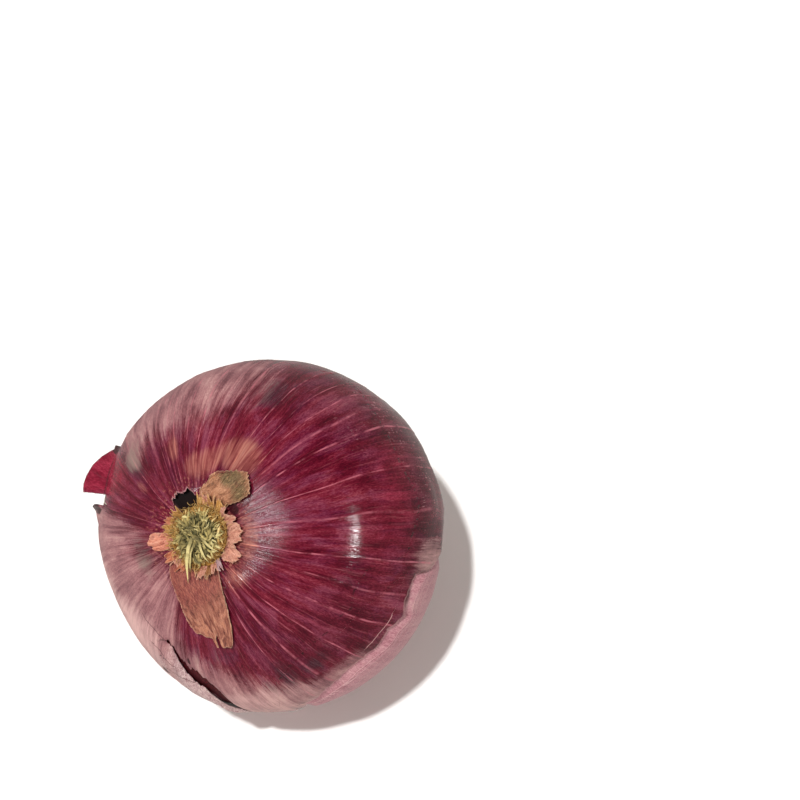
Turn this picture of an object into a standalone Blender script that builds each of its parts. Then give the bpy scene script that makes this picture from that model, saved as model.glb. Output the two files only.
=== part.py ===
"""A whole red onion as it lies on a table: root end up and tilted, leaning on one shoulder
and on its dry neck, which is folded under it.

Four pieces: the bulb with its neck, its torn outer skin, the papery collar round the root
plate, and the plate with its tuft of dry roots. Places on the bulb are given by two angles: the
turn about its axis, which is 0 towards +X and grows towards +Y, and the angle down from the
root pole.
"""

import math
import random

import bmesh
import bpy
from mathutils import Matrix, Vector

MM = 0.001

# The bulb's size and how it lies. The origin is the middle of the flat spot it rests on.
EQUATOR = 39.2 * MM
CENTRE = Vector((0.1 * MM, 2.3 * MM, 35.1 * MM))
ROOT_AXIS = Vector((-0.357, -0.389, 0.850)).normalized()

# Angle down from the root pole, in degrees, and distance from the centre, in equator radii.
PROFILE = (
    (0, 0.792),
    (10, 0.806),
    (17, 0.842),
    (28, 0.878),
    (42, 0.918),
    (58, 0.960),
    (75, 0.990),
    (92, 1.000),
    (112, 0.992),
    (132, 0.962),
    (148, 0.932),
    (160, 0.920),
    (170, 0.939),
)
BULB_ROWS = (3, 7, 11, 15, 19, 24, *range(30, 169, 6), 170)

# Broad swells and hollows of the outline: turn, half width, height in equator radii.
SWELLS = (
    (-143, 34, -0.050),
    (140, 40, 0.022),
    (-92, 22, -0.008),
    (-10, 40, -0.010),
    (50, 40, 0.008),
)

# Raised veins that run from the root to the neck, two columns of the mesh to each.
COLUMNS = 72
VEINS = 36
VEIN_HEIGHT = 0.22 * MM

# The outer skin, a dry leaf that lies over the bulb and is torn off round its lower side.
GAP = 0.3 * MM
PAPER = 0.6 * MM
SKIN_START = 13
SKIN_ROWS = 15
TEAR_ROW = 9

# Its torn edge: turn, angle from the root pole, and how far the edge stands off the bulb there.
# Between the first and last turn of SPLIT the skin goes on below a lengthwise split, as a raised
# strip. Between the first and last turn of BARE_EDGE there is nothing below the edge.
SKIN_EDGE = (
    (-180, 92, 0.4),
    (-165, 98, 0.2),
    (-150, 104, 0.9),
    (-135, 99, 0.3),
    (-120, 103, 0.6),
    (-100, 97, 0.5),
    (-90, 93, 0.2),
    (0, 106, 0.4),
    (10, 113, 1.1),
    (25, 106, 0.3),
    (45, 111, 0.7),
    (60, 119, 1.4),
    (75, 108, 0.5),
    (90, 113, 1.0),
    (110, 104, 0.3),
    (125, 93, 0.4),
    (135, 82, 0.2),
    (145, 68, 0.0),
    (150, 66, 1.3),
    (155, 64, 3.4),
    (160, 63, 4.3),
    (165, 61, 4.5),
    (170, 54, 0.4),
    (175, 68, 1.3),
    (180, 92, 0.4),
)
SPLIT = ((-120, 36), (-115, 40), (-110, 46), (-105, 53), (-100, 61), (-95, 70), (-90, 80))
BARE_EDGE = (
    (-90, 80, 0.0),
    (-80, 93, 0.3),
    (-70, 92, 0.2),
    (-60, 81, 0.1),
    (-45, 73, 0.3),
    (-30, 77, 0.6),
    (-20, 77, 0.3),
    (-10, 95, 0.2),
    (0, 106, 0.4),
)
CURL_REACH = 16.0
TEAR_FADE = 30.0
STRIP_SET_BACK = 4.0
STRIP_LIFT = 0.7 * MM

# The papery collar round the root plate: a ring, and the torn flakes that grow out of it.
COLLAR_COLUMNS = 60
COLLAR_START = 11.8
COLLAR_RING = 15.0
COLLAR_ROWS = 4
COLLAR_FRAY = 0.08
# First and last column of the ring, then the flake's tip: turn and angle of its middle, half
# width, rise above the skin, and the share of its length by which its corners fall short.
FLAKES = (
    (-22, -10, -88, 37.0, 4.9 * MM, 0.5 * MM, 0.06),
    (-10, -5, -47, 18.5, 2.2 * MM, 1.0 * MM, 0.30),
    (-5, 0, -14, 20.5, 2.1 * MM, 0.9 * MM, 0.20),
    (0, 4, 13, 19.0, 2.0 * MM, 1.2 * MM, 0.35),
    (4, 12, 52, 26.0, 3.3 * MM, 2.4 * MM, 0.12),
    (12, 17, 86, 17.0, 2.0 * MM, 1.4 * MM, 0.30),
    (20, 27, 140, 17.8, 2.6 * MM, 1.1 * MM, 0.25),
    (27, 32, 176, 21.0, 2.1 * MM, 0.9 * MM, 0.35),
    (32, 38, 212, 18.5, 2.4 * MM, 0.8 * MM, 0.20),
)

# The root plate and the dry roots on it.
PLATE_RADIUS = 6.3 * MM
PLATE_EDGE = 1.5 * MM
PLATE_CROWN = 2.7 * MM
ROOTS = 40
ROOT_RADIUS = 0.42 * MM
ROOT_SIDES = 3
ROOT_REACH = 6.25 * MM
GOLDEN_ANGLE = 2.39996

# The neck: how far it runs along the table from where the bulb's rows end, its half height and
# half width at its torn end, and how deep its pleats and its fraying are there.
NECK_LENGTH = 19 * MM
NECK_RINGS = 7
NECK_TIP_HEIGHT = 1.7 * MM
NECK_TIP_WIDTH = 5.0 * MM
NECK_PLEATS = 9
NECK_PLEAT_DEPTH = 0.10
NECK_FRAY = 1.6 * MM

MATERIALS = {
    "bulb": ((0.36, 0.075, 0.13), 0.38),
    "outer_skin": ((0.20, 0.022, 0.045), 0.42),
    "root_collar": ((0.50, 0.23, 0.13), 0.75),
    "root_tuft": ((0.45, 0.40, 0.19), 0.85),
}


def clear_scene():
    for thing in list(bpy.data.objects):
        bpy.data.objects.remove(thing)


def onion_axes():
    """Columns are the onion's own axes in the world: the turn's 0, its quarter, the root pole."""
    across = Vector((1, 0, 0)) - ROOT_AXIS * ROOT_AXIS.x
    across.normalize()
    return Matrix((across, ROOT_AXIS.cross(across), ROOT_AXIS)).transposed()


AXES = onion_axes()


def smooth_through(points, x):
    """The value at x of a smooth curve through these points."""
    if x <= points[0][0]:
        return points[0][1]
    for i in range(len(points) - 1):
        (x0, y0), (x1, y1) = points[i], points[i + 1]
        if x <= x1:
            xa, ya = points[max(i - 1, 0)]
            xb, yb = points[min(i + 2, len(points) - 1)]
            t = (x - x0) / (x1 - x0)
            rise0 = (y1 - ya) / (x1 - xa) * (x1 - x0)
            rise1 = (yb - y0) / (xb - x0) * (x1 - x0)
            return (
                y0 * (1 + 2 * t) * (1 - t) ** 2
                + rise0 * t * (1 - t) ** 2
                + y1 * t * t * (3 - 2 * t)
                - rise1 * t * t * (1 - t)
            )
    return points[-1][1]


def straight_through(points, x):
    """The value at x of straight runs through these points."""
    for (x0, y0), (x1, y1) in zip(points, points[1:]):
        if x <= x1:
            return y0 + (y1 - y0) * max(0.0, (x - x0) / (x1 - x0))
    return points[-1][1]


def turned_by(a, b):
    """The signed angle from b to a, in degrees, between -180 and 180."""
    return (a - b + 180) % 360 - 180


def bulb_radius(turn, down):
    """The bulb's distance from its centre, veins and swells included."""
    share = math.sin(math.radians(min(down, 180 - down) if down > 90 else down))
    radius = smooth_through(PROFILE, down) * EQUATOR
    for place, width, height in SWELLS:
        radius += EQUATOR * height * share * math.exp(-((turned_by(turn, place) / width) ** 2))
    return radius + VEIN_HEIGHT * share * 0.5 * math.cos(math.radians(turn * VEINS))


def on_bulb(turn, down, lift=0.0):
    """The point this far above the bulb's skin, no lower than the table."""
    t, d = math.radians(turn), math.radians(down)
    way = Vector((math.sin(d) * math.cos(t), math.sin(d) * math.sin(t), math.cos(d)))
    point = CENTRE + AXES @ (way * (bulb_radius(turn, down) + lift))
    point.z = max(point.z, 0.0)
    return point


def material(name):
    colour, roughness = MATERIALS[name]
    made = bpy.data.materials.new(name)
    made.use_nodes = True
    shader = made.node_tree.nodes["Principled BSDF"]
    shader.inputs["Base Color"].default_value = (*colour, 1)
    shader.inputs["Roughness"].default_value = roughness
    shader.inputs["Metallic"].default_value = 0
    return made


def node(name, verts, faces):
    """A named object from points and faces, its faces turned out."""
    mesh = bpy.data.meshes.new(name)
    mesh.from_pydata([tuple(v) for v in verts], [], faces)
    shape = bmesh.new()
    shape.from_mesh(mesh)
    bmesh.ops.recalc_face_normals(shape, faces=shape.faces)
    shape.to_mesh(mesh)
    shape.free()
    mesh.shade_smooth()
    mesh.set_sharp_from_angle(angle=math.radians(40))
    made = bpy.data.objects.new(name, mesh)
    made.data.materials.append(material(name))
    bpy.context.scene.collection.objects.link(made)
    return made


def thicken(sheet, thickness):
    """Gives a sheet of paper its thickness, outwards from the bulb."""
    first = sheet.data.polygons[0]
    if first.normal.dot(first.center - CENTRE) < 0:
        sheet.data.flip_normals()
    modifier = sheet.modifiers.new("thickness", "SOLIDIFY")
    modifier.thickness = thickness
    modifier.offset = 1.0


def closed_rings(rings, first_tip, last_tip):
    """Points and faces of a solid from rings of points, with a point at each end."""
    count = len(rings[0])
    verts = [point for ring in rings for point in ring] + [first_tip, last_tip]
    first, last = len(verts) - 2, len(verts) - 1
    faces = []
    for i in range(count):
        j = (i + 1) % count
        for r in range(len(rings) - 1):
            a, b = r * count, (r + 1) * count
            faces.append((a + i, a + j, b + j, b + i))
        top = (len(rings) - 1) * count
        faces.append((first, j, i))
        faces.append((last, top + i, top + j))
    return verts, faces


def neck_ring(share):
    """A ring of the neck, which folds over and lies flattened on the table."""
    last_row = math.radians(BULB_ROWS[-1])
    last_radius = PROFILE[-1][1] * EQUATOR
    base = CENTRE + ROOT_AXIS * (last_radius * math.cos(last_row))
    base_width = last_radius * math.sin(last_row)
    away = Vector((-ROOT_AXIS.x, -ROOT_AXIS.y, 0)).normalized()
    sideways = away.cross(Vector((0, 0, 1)))
    tip = base + away * NECK_LENGTH
    tip.z = NECK_TIP_HEIGHT
    rest = 1 - share
    middle = (
        base * (1 + 2 * share) * rest**2
        - ROOT_AXIS * (9 * MM * share * rest**2)
        + tip * share * share * (3 - 2 * share)
        - away * (26 * MM * share * share * rest)
    )
    bend = min(1.0, share * 2.2)
    facing = (-ROOT_AXIS * (1 - bend) + away * bend).normalized()
    upward = sideways.cross(facing)
    first_upward = sideways.cross(-ROOT_AXIS)
    half_height = base_width + (NECK_TIP_HEIGHT - base_width) * min(1.0, share * 1.6)
    half_width = base_width + (NECK_TIP_WIDTH - base_width) * share
    ring = []
    for i in range(COLUMNS):
        turn = 2 * math.pi * i / COLUMNS
        column = AXES @ Vector((math.cos(turn), math.sin(turn), 0))
        across, up = column.dot(sideways), column.dot(first_upward)
        pleat = 1 + NECK_PLEAT_DEPTH * share * math.cos(NECK_PLEATS * turn)
        point = middle + (sideways * (half_width * across) + upward * (half_height * up)) * pleat
        if share == 1:
            point += facing * (NECK_FRAY * math.sin(1.1 * i))
        point.z = max(point.z, 0.0)
        ring.append(point)
    return ring


def make_bulb():
    rings = [
        [on_bulb(360 * i / COLUMNS, down) for i in range(COLUMNS)] for down in BULB_ROWS
    ]
    rings += [neck_ring((r + 1) / NECK_RINGS) for r in range(NECK_RINGS)]
    last = rings[-1]
    before = sum(rings[-2], Vector()) / COLUMNS
    neck_end = (sum(last, Vector()) / COLUMNS).lerp(before, 0.5)
    return node("bulb", *closed_rings(rings, on_bulb(0, 0), neck_end))


def edge_table(turn):
    return BARE_EDGE if BARE_EDGE[0][0] < turn < BARE_EDGE[-1][0] else SKIN_EDGE


def skin_edge(turn):
    """The angle from the root pole at which the skin's whole part ends."""
    return straight_through([(place, down) for place, down, _ in edge_table(turn)], turn)


def tear_angle(turn):
    """The angle of the row of the skin's mesh that the split and the bare side share."""
    if SPLIT[0][0] <= turn <= SPLIT[-1][0]:
        return straight_through(SPLIT, turn)
    if BARE_EDGE[0][0] < turn < BARE_EDGE[-1][0]:
        return skin_edge(turn)
    usual = SKIN_START + (skin_edge(turn) - SKIN_START) * TEAR_ROW / SKIN_ROWS
    near_split = max(0.0, 1 - abs(turned_by(turn, SPLIT[0][0])) / TEAR_FADE)
    near_bare = max(0.0, 1 - abs(turned_by(turn, BARE_EDGE[-1][0])) / TEAR_FADE)
    return usual + (SPLIT[0][1] - usual) * near_split + (skin_edge(turn) - usual) * near_bare * 0.9


def curl(turn, down):
    """How far the skin stands off the bulb where its edge curls outwards."""
    rise = straight_through([(place, high) for place, _, high in edge_table(turn)], turn)
    share = max(0.0, 1 - (skin_edge(turn) - down) / CURL_REACH)
    return rise * MM * share**1.7


def skin_rows(turn):
    """The angles of the rows of the skin's mesh at this turn: above and below its tear row."""
    edge, tear = skin_edge(turn), tear_angle(turn)
    start = tear + (STRIP_SET_BACK if SPLIT[0][0] < turn <= SPLIT[-1][0] else 0.0)
    below = SKIN_ROWS - TEAR_ROW
    rows = [SKIN_START + (tear - SKIN_START) * row / TEAR_ROW for row in range(TEAR_ROW + 1)]
    return rows, [start + (edge - start) * row / below for row in range(below + 1)]


def room(downs, i, row):
    """What a slanting face needs above the usual gap, so that its middle clears the bulb."""
    longest = 0.0
    for neighbour in (downs[i - 1], downs[(i + 1) % COLUMNS]):
        for down in neighbour[max(row - 1, 0) : row + 2]:
            longest = max(longest, abs(downs[i][row] - down))
    return max(0.0, EQUATOR * (1 - math.cos(math.radians(longest / 2))) - GAP / 3)


def make_outer_skin():
    """One sheet of rows and columns, open along the split and with its bare side left out."""
    turns = [-180 + 360 * i / COLUMNS for i in range(COLUMNS)]
    split = [SPLIT[0][0] < turn <= SPLIT[-1][0] for turn in turns]
    bare = [BARE_EDGE[0][0] < turn < BARE_EDGE[-1][0] for turn in turns]
    above = [skin_rows(turn)[0] for turn in turns]
    below = [skin_rows(turn)[1] for turn in turns]
    last = SKIN_ROWS - TEAR_ROW
    verts, upper, lower = [], {}, {}

    def add(turn, down, lift):
        verts.append(on_bulb(turn, down, GAP + lift))
        return len(verts) - 1

    for i, turn in enumerate(turns):
        for row, down in enumerate(above[i]):
            upper[i, row] = add(turn, down, curl(turn, down) + room(above, i, row))
        for row, down in enumerate(below[i]):
            lift = STRIP_LIFT * (1 - row / last) if split[i] else curl(turn, down)
            joined = row == 0 and not split[i]
            if joined:
                lower[i, row] = upper[i, TEAR_ROW]
            elif not bare[i]:
                lower[i, row] = add(turn, down, lift + room(below, i, row))
    faces = []
    for i in range(COLUMNS):
        j = (i + 1) % COLUMNS
        for row in range(TEAR_ROW):
            faces.append((upper[i, row], upper[i, row + 1], upper[j, row + 1], upper[j, row]))
        if bare[i] or bare[j]:
            continue
        for row in range(last):
            faces.append((lower[i, row], lower[i, row + 1], lower[j, row + 1], lower[j, row]))
    skin = node("outer_skin", verts, faces)
    thicken(skin, PAPER)
    return skin


def make_root_collar():
    """A ring of paper round the root plate, over the outer skin, with its flakes."""
    base = GAP + PAPER + GAP
    step = 360 / COLLAR_COLUMNS
    verts, faces = [], []
    for down in (COLLAR_START, COLLAR_RING):
        for i in range(COLLAR_COLUMNS):
            verts.append(on_bulb(i * step, down, base))
    for i in range(COLLAR_COLUMNS):
        j = (i + 1) % COLLAR_COLUMNS
        faces.append((i, j, COLLAR_COLUMNS + j, COLLAR_COLUMNS + i))
    for first, last, tip_turn, tip_down, half_width, rise, rounding in FLAKES:
        tip_span = math.degrees(half_width / (EQUATOR * math.sin(math.radians(tip_down))))
        rows = [[COLLAR_COLUMNS + i % COLLAR_COLUMNS for i in range(first, last + 1)]]
        for row in range(1, COLLAR_ROWS + 1):
            share = row / COLLAR_ROWS
            this_row = []
            for i in range(first, last + 1):
                side = 2 * (i - first) / (last - first) - 1
                ragged = COLLAR_FRAY * math.sin(5.1 * i + tip_turn) * share
                reach = share * (1 - rounding * side * side + ragged)
                down = COLLAR_RING + (tip_down - COLLAR_RING) * reach
                tip = tip_turn + side * tip_span
                turn = i * step + turned_by(tip, i * step) * share**0.8
                verts.append(on_bulb(turn, down, base + rise * share**1.6))
                this_row.append(len(verts) - 1)
            rows.append(this_row)
        for inner, outer in zip(rows, rows[1:]):
            for k in range(last - first):
                faces.append((inner[k], inner[k + 1], outer[k + 1], outer[k]))
    collar = node("root_collar", verts, faces)
    thicken(collar, PAPER)
    return collar


def on_plate(x, y, height):
    """A point over the root plate: two distances across it, and a height above its seat."""
    seat = PROFILE[0][1] * EQUATOR + GAP
    return CENTRE + AXES @ Vector((x, y, seat + height))


def plate_height(distance):
    share = min(distance / PLATE_RADIUS, 1.0)
    return PLATE_CROWN + (PLATE_EDGE - PLATE_CROWN) * share * share


def make_root_plate():
    sides = 28
    rings = []
    for distance, height in (
        (0.86, 0.35 * MM),
        (1.0, 0.75 * MM),
        (1.0, PLATE_EDGE),
        (0.72, plate_height(0.72 * PLATE_RADIUS)),
        (0.4, plate_height(0.4 * PLATE_RADIUS)),
    ):
        ring = []
        for i in range(sides):
            angle = 2 * math.pi * i / sides
            reach = distance * PLATE_RADIUS
            ring.append(on_plate(reach * math.cos(angle), reach * math.sin(angle), height))
        rings.append(ring)
    bottom = on_plate(0, 0, 0.3 * MM)
    return node("root_tuft", *closed_rings(rings, bottom, on_plate(0, 0, PLATE_CROWN)))


def root_path(draw, index):
    """Points of one dry root, which leaves the plate upwards and lies over to one side."""
    distance = PLATE_RADIUS * 0.85 * math.sqrt((index + 0.5) / ROOTS)
    place = index * GOLDEN_ANGLE + draw.uniform(-0.3, 0.3)
    x, y = distance * math.cos(place), distance * math.sin(place)
    lean = place + draw.gauss(0, 1.3)
    length = draw.uniform(1.6, 4.4) * MM
    rise = draw.uniform(0.9, 2.0) * MM
    path = [(x, y, plate_height(distance) - 0.6 * MM)]
    for share, height in ((0.12, 0.6), (0.5, 1.0), (1.0, 0.7)):
        px = x + length * share * math.cos(lean)
        py = y + length * share * math.sin(lean)
        path.append((px, py, plate_height(math.hypot(px, py)) + rise * height))
    return path


def root_paths():
    """The paths of all roots, spread over the plate; none of them reaches past its rim."""
    draw = random.Random(7)
    paths = []
    while len(paths) < ROOTS:
        path = root_path(draw, len(paths))
        if max(math.hypot(x, y) for x, y, _ in path) < ROOT_REACH:
            paths.append(path)
    return paths


def make_root(path, index):
    """A three-sided tapered spike along the path."""
    points = [on_plate(*p) for p in path]
    side = ROOT_AXIS.cross(points[-1] - points[0]).normalized()
    rings = []
    for k, point in enumerate(points[:-1]):
        along = (points[k + 1] - points[max(k - 1, 0)]).normalized()
        other = along.cross(side)
        radius = ROOT_RADIUS * (1 - 0.16 * k)
        ring = []
        for s in range(ROOT_SIDES):
            angle = 2 * math.pi * s / ROOT_SIDES + index
            ring.append(point + (side * math.cos(angle) + other * math.sin(angle)) * radius)
        rings.append(ring)
    mesh = bpy.data.meshes.new("root")
    start = points[0] - (points[1] - points[0]).normalized() * 0.1 * MM
    verts, faces = closed_rings(rings, start, points[-1])
    mesh.from_pydata([tuple(v) for v in verts], [], faces)
    shape = bmesh.new()
    shape.from_mesh(mesh)
    bmesh.ops.recalc_face_normals(shape, faces=shape.faces)
    shape.to_mesh(mesh)
    shape.free()
    return bpy.data.objects.new("root", mesh)


def fill_hollows(body):
    """Keeps the largest shell, so that hollows closed in between crossing roots are filled."""
    shape = bmesh.new()
    shape.from_mesh(body.data)
    left = set(shape.verts)
    shells = []
    while left:
        shell, front = [], [left.pop()]
        while front:
            vert = front.pop()
            shell.append(vert)
            near = {edge.other_vert(vert) for edge in vert.link_edges} & left
            left -= near
            front.extend(near)
        shells.append(shell)
    shells.sort(key=len)
    for shell in shells[:-1]:
        bmesh.ops.delete(shape, geom=shell, context="VERTS")
    shape.to_mesh(body.data)
    shape.free()


def make_root_tuft():
    """The plate with its roots, joined into one body."""
    plate = make_root_plate()
    roots = bpy.data.collections.new("roots")
    bpy.context.scene.collection.children.link(roots)
    for index, path in enumerate(root_paths()):
        roots.objects.link(make_root(path, index))
    modifier = plate.modifiers.new("join", "BOOLEAN")
    modifier.operation = "UNION"
    modifier.operand_type = "COLLECTION"
    modifier.collection = roots
    modifier.solver = "MANIFOLD"
    bpy.context.view_layer.update()
    graph = bpy.context.evaluated_depsgraph_get()
    joined = bpy.data.meshes.new_from_object(plate.evaluated_get(graph))
    plate.modifiers.clear()
    plate.data = joined
    fill_hollows(plate)
    for root in list(roots.objects):
        bpy.data.objects.remove(root)
    bpy.data.collections.remove(roots)
    return plate


def main():
    clear_scene()
    make_bulb()
    make_outer_skin()
    make_root_collar()
    make_root_tuft()


main()
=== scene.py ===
import math
import random

import bpy
import numpy as np
from mathutils import Matrix, Vector


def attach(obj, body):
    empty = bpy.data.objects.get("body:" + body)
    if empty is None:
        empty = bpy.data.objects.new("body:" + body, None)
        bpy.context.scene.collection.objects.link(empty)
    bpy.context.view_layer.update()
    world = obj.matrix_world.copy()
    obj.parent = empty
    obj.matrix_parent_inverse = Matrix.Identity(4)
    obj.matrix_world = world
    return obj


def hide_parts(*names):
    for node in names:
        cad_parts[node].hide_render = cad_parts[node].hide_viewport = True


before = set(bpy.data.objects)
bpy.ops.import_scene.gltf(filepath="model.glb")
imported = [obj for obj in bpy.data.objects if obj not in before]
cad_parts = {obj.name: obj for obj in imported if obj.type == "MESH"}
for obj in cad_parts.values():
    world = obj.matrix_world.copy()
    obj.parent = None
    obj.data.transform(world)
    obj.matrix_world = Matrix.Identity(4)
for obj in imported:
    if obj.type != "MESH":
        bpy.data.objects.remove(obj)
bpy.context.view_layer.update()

MM = 0.001

# The bulb's form, with the same values as the solids.
EQUATOR = 39.2 * MM
CENTRE = Vector((0.1 * MM, 2.3 * MM, 35.1 * MM))
ROOT_AXIS = Vector((-0.357, -0.389, 0.850)).normalized()
PROFILE = (
    (0, 0.792),
    (10, 0.806),
    (17, 0.842),
    (28, 0.878),
    (42, 0.918),
    (58, 0.960),
    (75, 0.990),
    (92, 1.000),
    (112, 0.992),
    (132, 0.962),
    (148, 0.932),
    (160, 0.920),
    (170, 0.939),
)
SWELLS = (
    (-143, 34, -0.050),
    (140, 40, 0.022),
    (-92, 22, -0.008),
    (-10, 40, -0.010),
    (50, 40, 0.008),
)
LAST_ROW = 170
NECK_LENGTH = 19 * MM
NECK_TIP_HEIGHT = 1.7 * MM
NECK_TIP_WIDTH = 5.0 * MM
PLATE_RADIUS = 6.3 * MM
PLATE_EDGE = 1.5 * MM
PLATE_CROWN = 2.7 * MM
PLATE_SEAT = 0.3 * MM

# How the outer skin lies on the bulb, and where it starts near the root: turn and angle.
SKIN_LIE = 0.55 * MM
SKIN_THICKNESS = 0.22 * MM
SKIN_TOP = (
    (-180, 13.0),
    (-60, 12.5),
    (92, 12.8),
    (97, 14.4),
    (104, 16.6),
    (112, 17.2),
    (122, 17.9),
    (130, 17.1),
    (136, 15.0),
    (141, 13.2),
    (180, 13.0),
)

# The torn line the skin ends at: turn, angle, how far it stands off there in millimetres, and
# over how many degrees it rises to that.
SKIN_EDGE = (
    (-180, 92, 0.5, 15),
    (-165, 98, 0.3, 15),
    (-150, 104, 0.9, 15),
    (-135, 99, 0.4, 15),
    (-120, 103, 0.6, 15),
    (-100, 97, 0.4, 15),
    (-90, 93, 0.2, 15),
    (-80, 93, 0.2, 15),
    (-76, 88, 0.1, 12),
    (-71, 80, 0.0, 8),
    (-59, 74.5, 0.0, 6),
    (-49, 72.8, 0.0, 6),
    (-43.3, 73.9, 0.1, 6),
    (-36.3, 76.6, 0.1, 6),
    (-31.6, 76.6, 0.2, 6),
    (-25.8, 80.9, 0.5, 6),
    (-23.8, 78.3, 1.0, 6),
    (-20.1, 77.1, 0.8, 6),
    (-16.7, 78.2, 0.2, 6),
    (-12.5, 80.4, 0.1, 8),
    (-10.8, 90, 0.1, 12),
    (-6, 103, 0.3, 15),
    (0, 106, 0.4, 15),
    (10, 113, 1.1, 15),
    (25, 106, 0.3, 15),
    (45, 111, 0.7, 15),
    (60, 119, 1.4, 15),
    (75, 108, 0.5, 15),
    (90, 113, 1.0, 15),
    (110, 104, 0.3, 15),
    (125, 93, 0.3, 15),
    (135, 82, 0.1, 15),
    (145.2, 67, 0.0, 10),
    (146.6, 66.8, 0.2, 5),
    (147.4, 68.0, 1.5, 4.6),
    (148.4, 66.8, 1.2, 4.6),
    (150, 66.6, 2.0, 4.8),
    (152.5, 66.0, 3.1, 5.2),
    (156, 64.8, 4.2, 6.2),
    (160, 63.4, 4.9, 7.2),
    (163, 62.6, 5.0, 7.6),
    (165.8, 61.0, 4.6, 7.2),
    (166.4, 53, 0.4, 6),
    (168.0, 54, 0.3, 6),
    (168.5, 59, 1.9, 6),
    (169.6, 62, 2.1, 6),
    (171.2, 65, 1.2, 8),
    (175, 74, 0.8, 12),
    (180, 92, 0.5, 15),
)
TEARS = ((166.1, 49),)

# The split in the skin at the lower left: turn, angle of the upper lip and of the lower lip.
SPLIT = (
    (-117, 44.0, 44.0),
    (-115.0, 44.1, 44.4),
    (-113.4, 44.5, 45.2),
    (-112.3, 45.2, 46.2),
    (-111.5, 46.4, 47.9),
    (-110.4, 46.9, 50.0),
    (-109.2, 47.4, 51.6),
    (-108.2, 48.2, 53.4),
    (-106.8, 49.0, 54.8),
    (-105.7, 50.4, 56.2),
    (-103.2, 51.6, 58.4),
    (-101.2, 52.6, 60.0),
    (-99.6, 53.4, 61.0),
    (-98.4, 54.0, 65.5),
    (-97.4, 55.2, 71.5),
    (-96.4, 56.6, 76.5),
    (-95.2, 58.4, 79.2),
    (-94.0, 61.2, 80.6),
    (-92.8, 68.6, 81.4),
    (-91.8, 76.0, 82.2),
    (-90.6, 83.0, 83.0),
)
STRIP_LIFT = 1.05 * MM

# Away from the split, the share of the sheet that its upper rows cover.
ABOVE_SHARE = 0.68

# Veins that show clearly, with their strength, and the step between the finer ones.
CLEAR_VEINS = (
    (-64, 0.8),
    (-55.3, 0.9),
    (-43, 0.95),
    (-30, 0.85),
    (-19, 0.6),
    (-8.7, 1.0),
    (8, 0.55),
    (22.5, 0.9),
    (36.8, 0.95),
    (44, 0.6),
    (51, 0.8),
    (57.5, 0.75),
    (65.5, 0.8),
    (80, 0.6),
    (88, 0.5),
    (96, 0.8),
    (104, 0.5),
    (112, 0.85),
    (119, 0.4),
    (141, 0.7),
)
VEIN_STEP = (3.4, 6.8)

# Patches of the outer skin: turn, angle, half width of the turn, of the angle, and strength.
# They are tan, fresh red, smudged (partly a painted shadow), pale, dark flecks (one a painted
# shade in a hole), lightest (partly a painted sheen along the rim), scratched and darker (partly
# a painted shade at the right edge).
GLOW = (
    (64, 31, 17, 7.5, 1.0),
    (84, 27, 9, 5, 0.7),
    (-6, 19, 26, 4.5, 0.85),
    (-45, 20, 16, 5, 0.75),
    (114, 34, 5, 6, 0.75),
    (146, 30, 5, 5, 0.5),
    (96, 25, 14, 6, 0.75),
    (20, 19, 16, 4, 0.4),
)
FLUSH = (
    (122, 30, 15, 9, 0.35),
    (154, 50, 9, 8.5, 1.0),
    (157, 63, 9.5, 9, 1.0),
    (170, 62, 2.6, 4.5, 1.0),
    (20, 74, 26, 12, 0.5),
    (-8, 60, 30, 15, 0.4),
    (-40, 45, 20, 12, 0.3),
)
# Smudges: dark grey smears of the skin, and in the first row, at the top, a painted shadow where
# something leaning over the bulb shades it.
SMUDGES_AND_SHADOW = (
    (68, 57, 9, 8, 0.65),
    (-51, 60, 6.5, 4.2, 0.8),
    (-63, 57, 4.5, 6.5, 0.75),
    (-73, 60, 4, 4, 0.4),
    (141, 45, 7, 9, 0.8),
    (137, 34, 6, 6, 0.6),
    (-162, 26, 18, 5, 0.75),
    (-88, 42, 14, 7, 0.4),
    (-16, 54, 6, 3.5, 0.35),
)
PALE = (
    (105, 62, 34, 24, 0.85),
    (130, 66, 20, 20, 0.9),
    (140, 45, 7, 9, 0.9),
    (178, 58, 11, 34, 0.85),
    (-152, 52, 32, 36, 1.0),
    (-105, 62, 34, 18, 0.95),
    (-72, 74, 22, 11, 0.9),
    (-52, 72, 16, 6, 0.75),
    (-128, 30, 22, 12, 0.7),
    (-121, 46, 16, 12, 0.9),
    (-8, 90, 8, 13, 0.8),
)
# Dark flecks of the skin; the last row is a painted shade in a small hole beside the collar.
FLECKS_AND_HOLE_SHADE = (
    (-110.5, 67.0, 2.6, 1.8, 1.0),
    (-119.0, 62.0, 1.8, 1.6, 0.9),
    (-104, 47.6, 0.8, 2.0, 0.8),
    (-118, 52, 3.0, 0.7, 0.8),
    (147.2, 65.5, 2.2, 4.0, 1.0),
    (169.2, 59.0, 2.4, 4.0, 1.0),
    (37, 16.4, 11, 2.0, 0.8),
)
# Lightest patches: pale skin, and a painted sheen and bounce light along the lower and left rim.
PALE_RIM_AND_SHEEN = (
    (-131, 51, 17, 11, 0.5),
    (-146, 60, 20, 11, 0.5),
    (-165, 62, 16, 11, 0.4),
    (-165, 86, 40, 15, 0.7),
    (-112, 70, 26, 12, 0.5),
    (-76, 66, 20, 8, 0.4),
    (-78, 81, 24, 9, 0.55),
    (-8, 90, 7, 12, 0.4),
)
SCUFFS = (
    (24, 90, 30, 9, 0.9),
    (52, 84, 26, 8, 0.6),
    (40, 66, 14, 8, 0.3),
)
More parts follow.
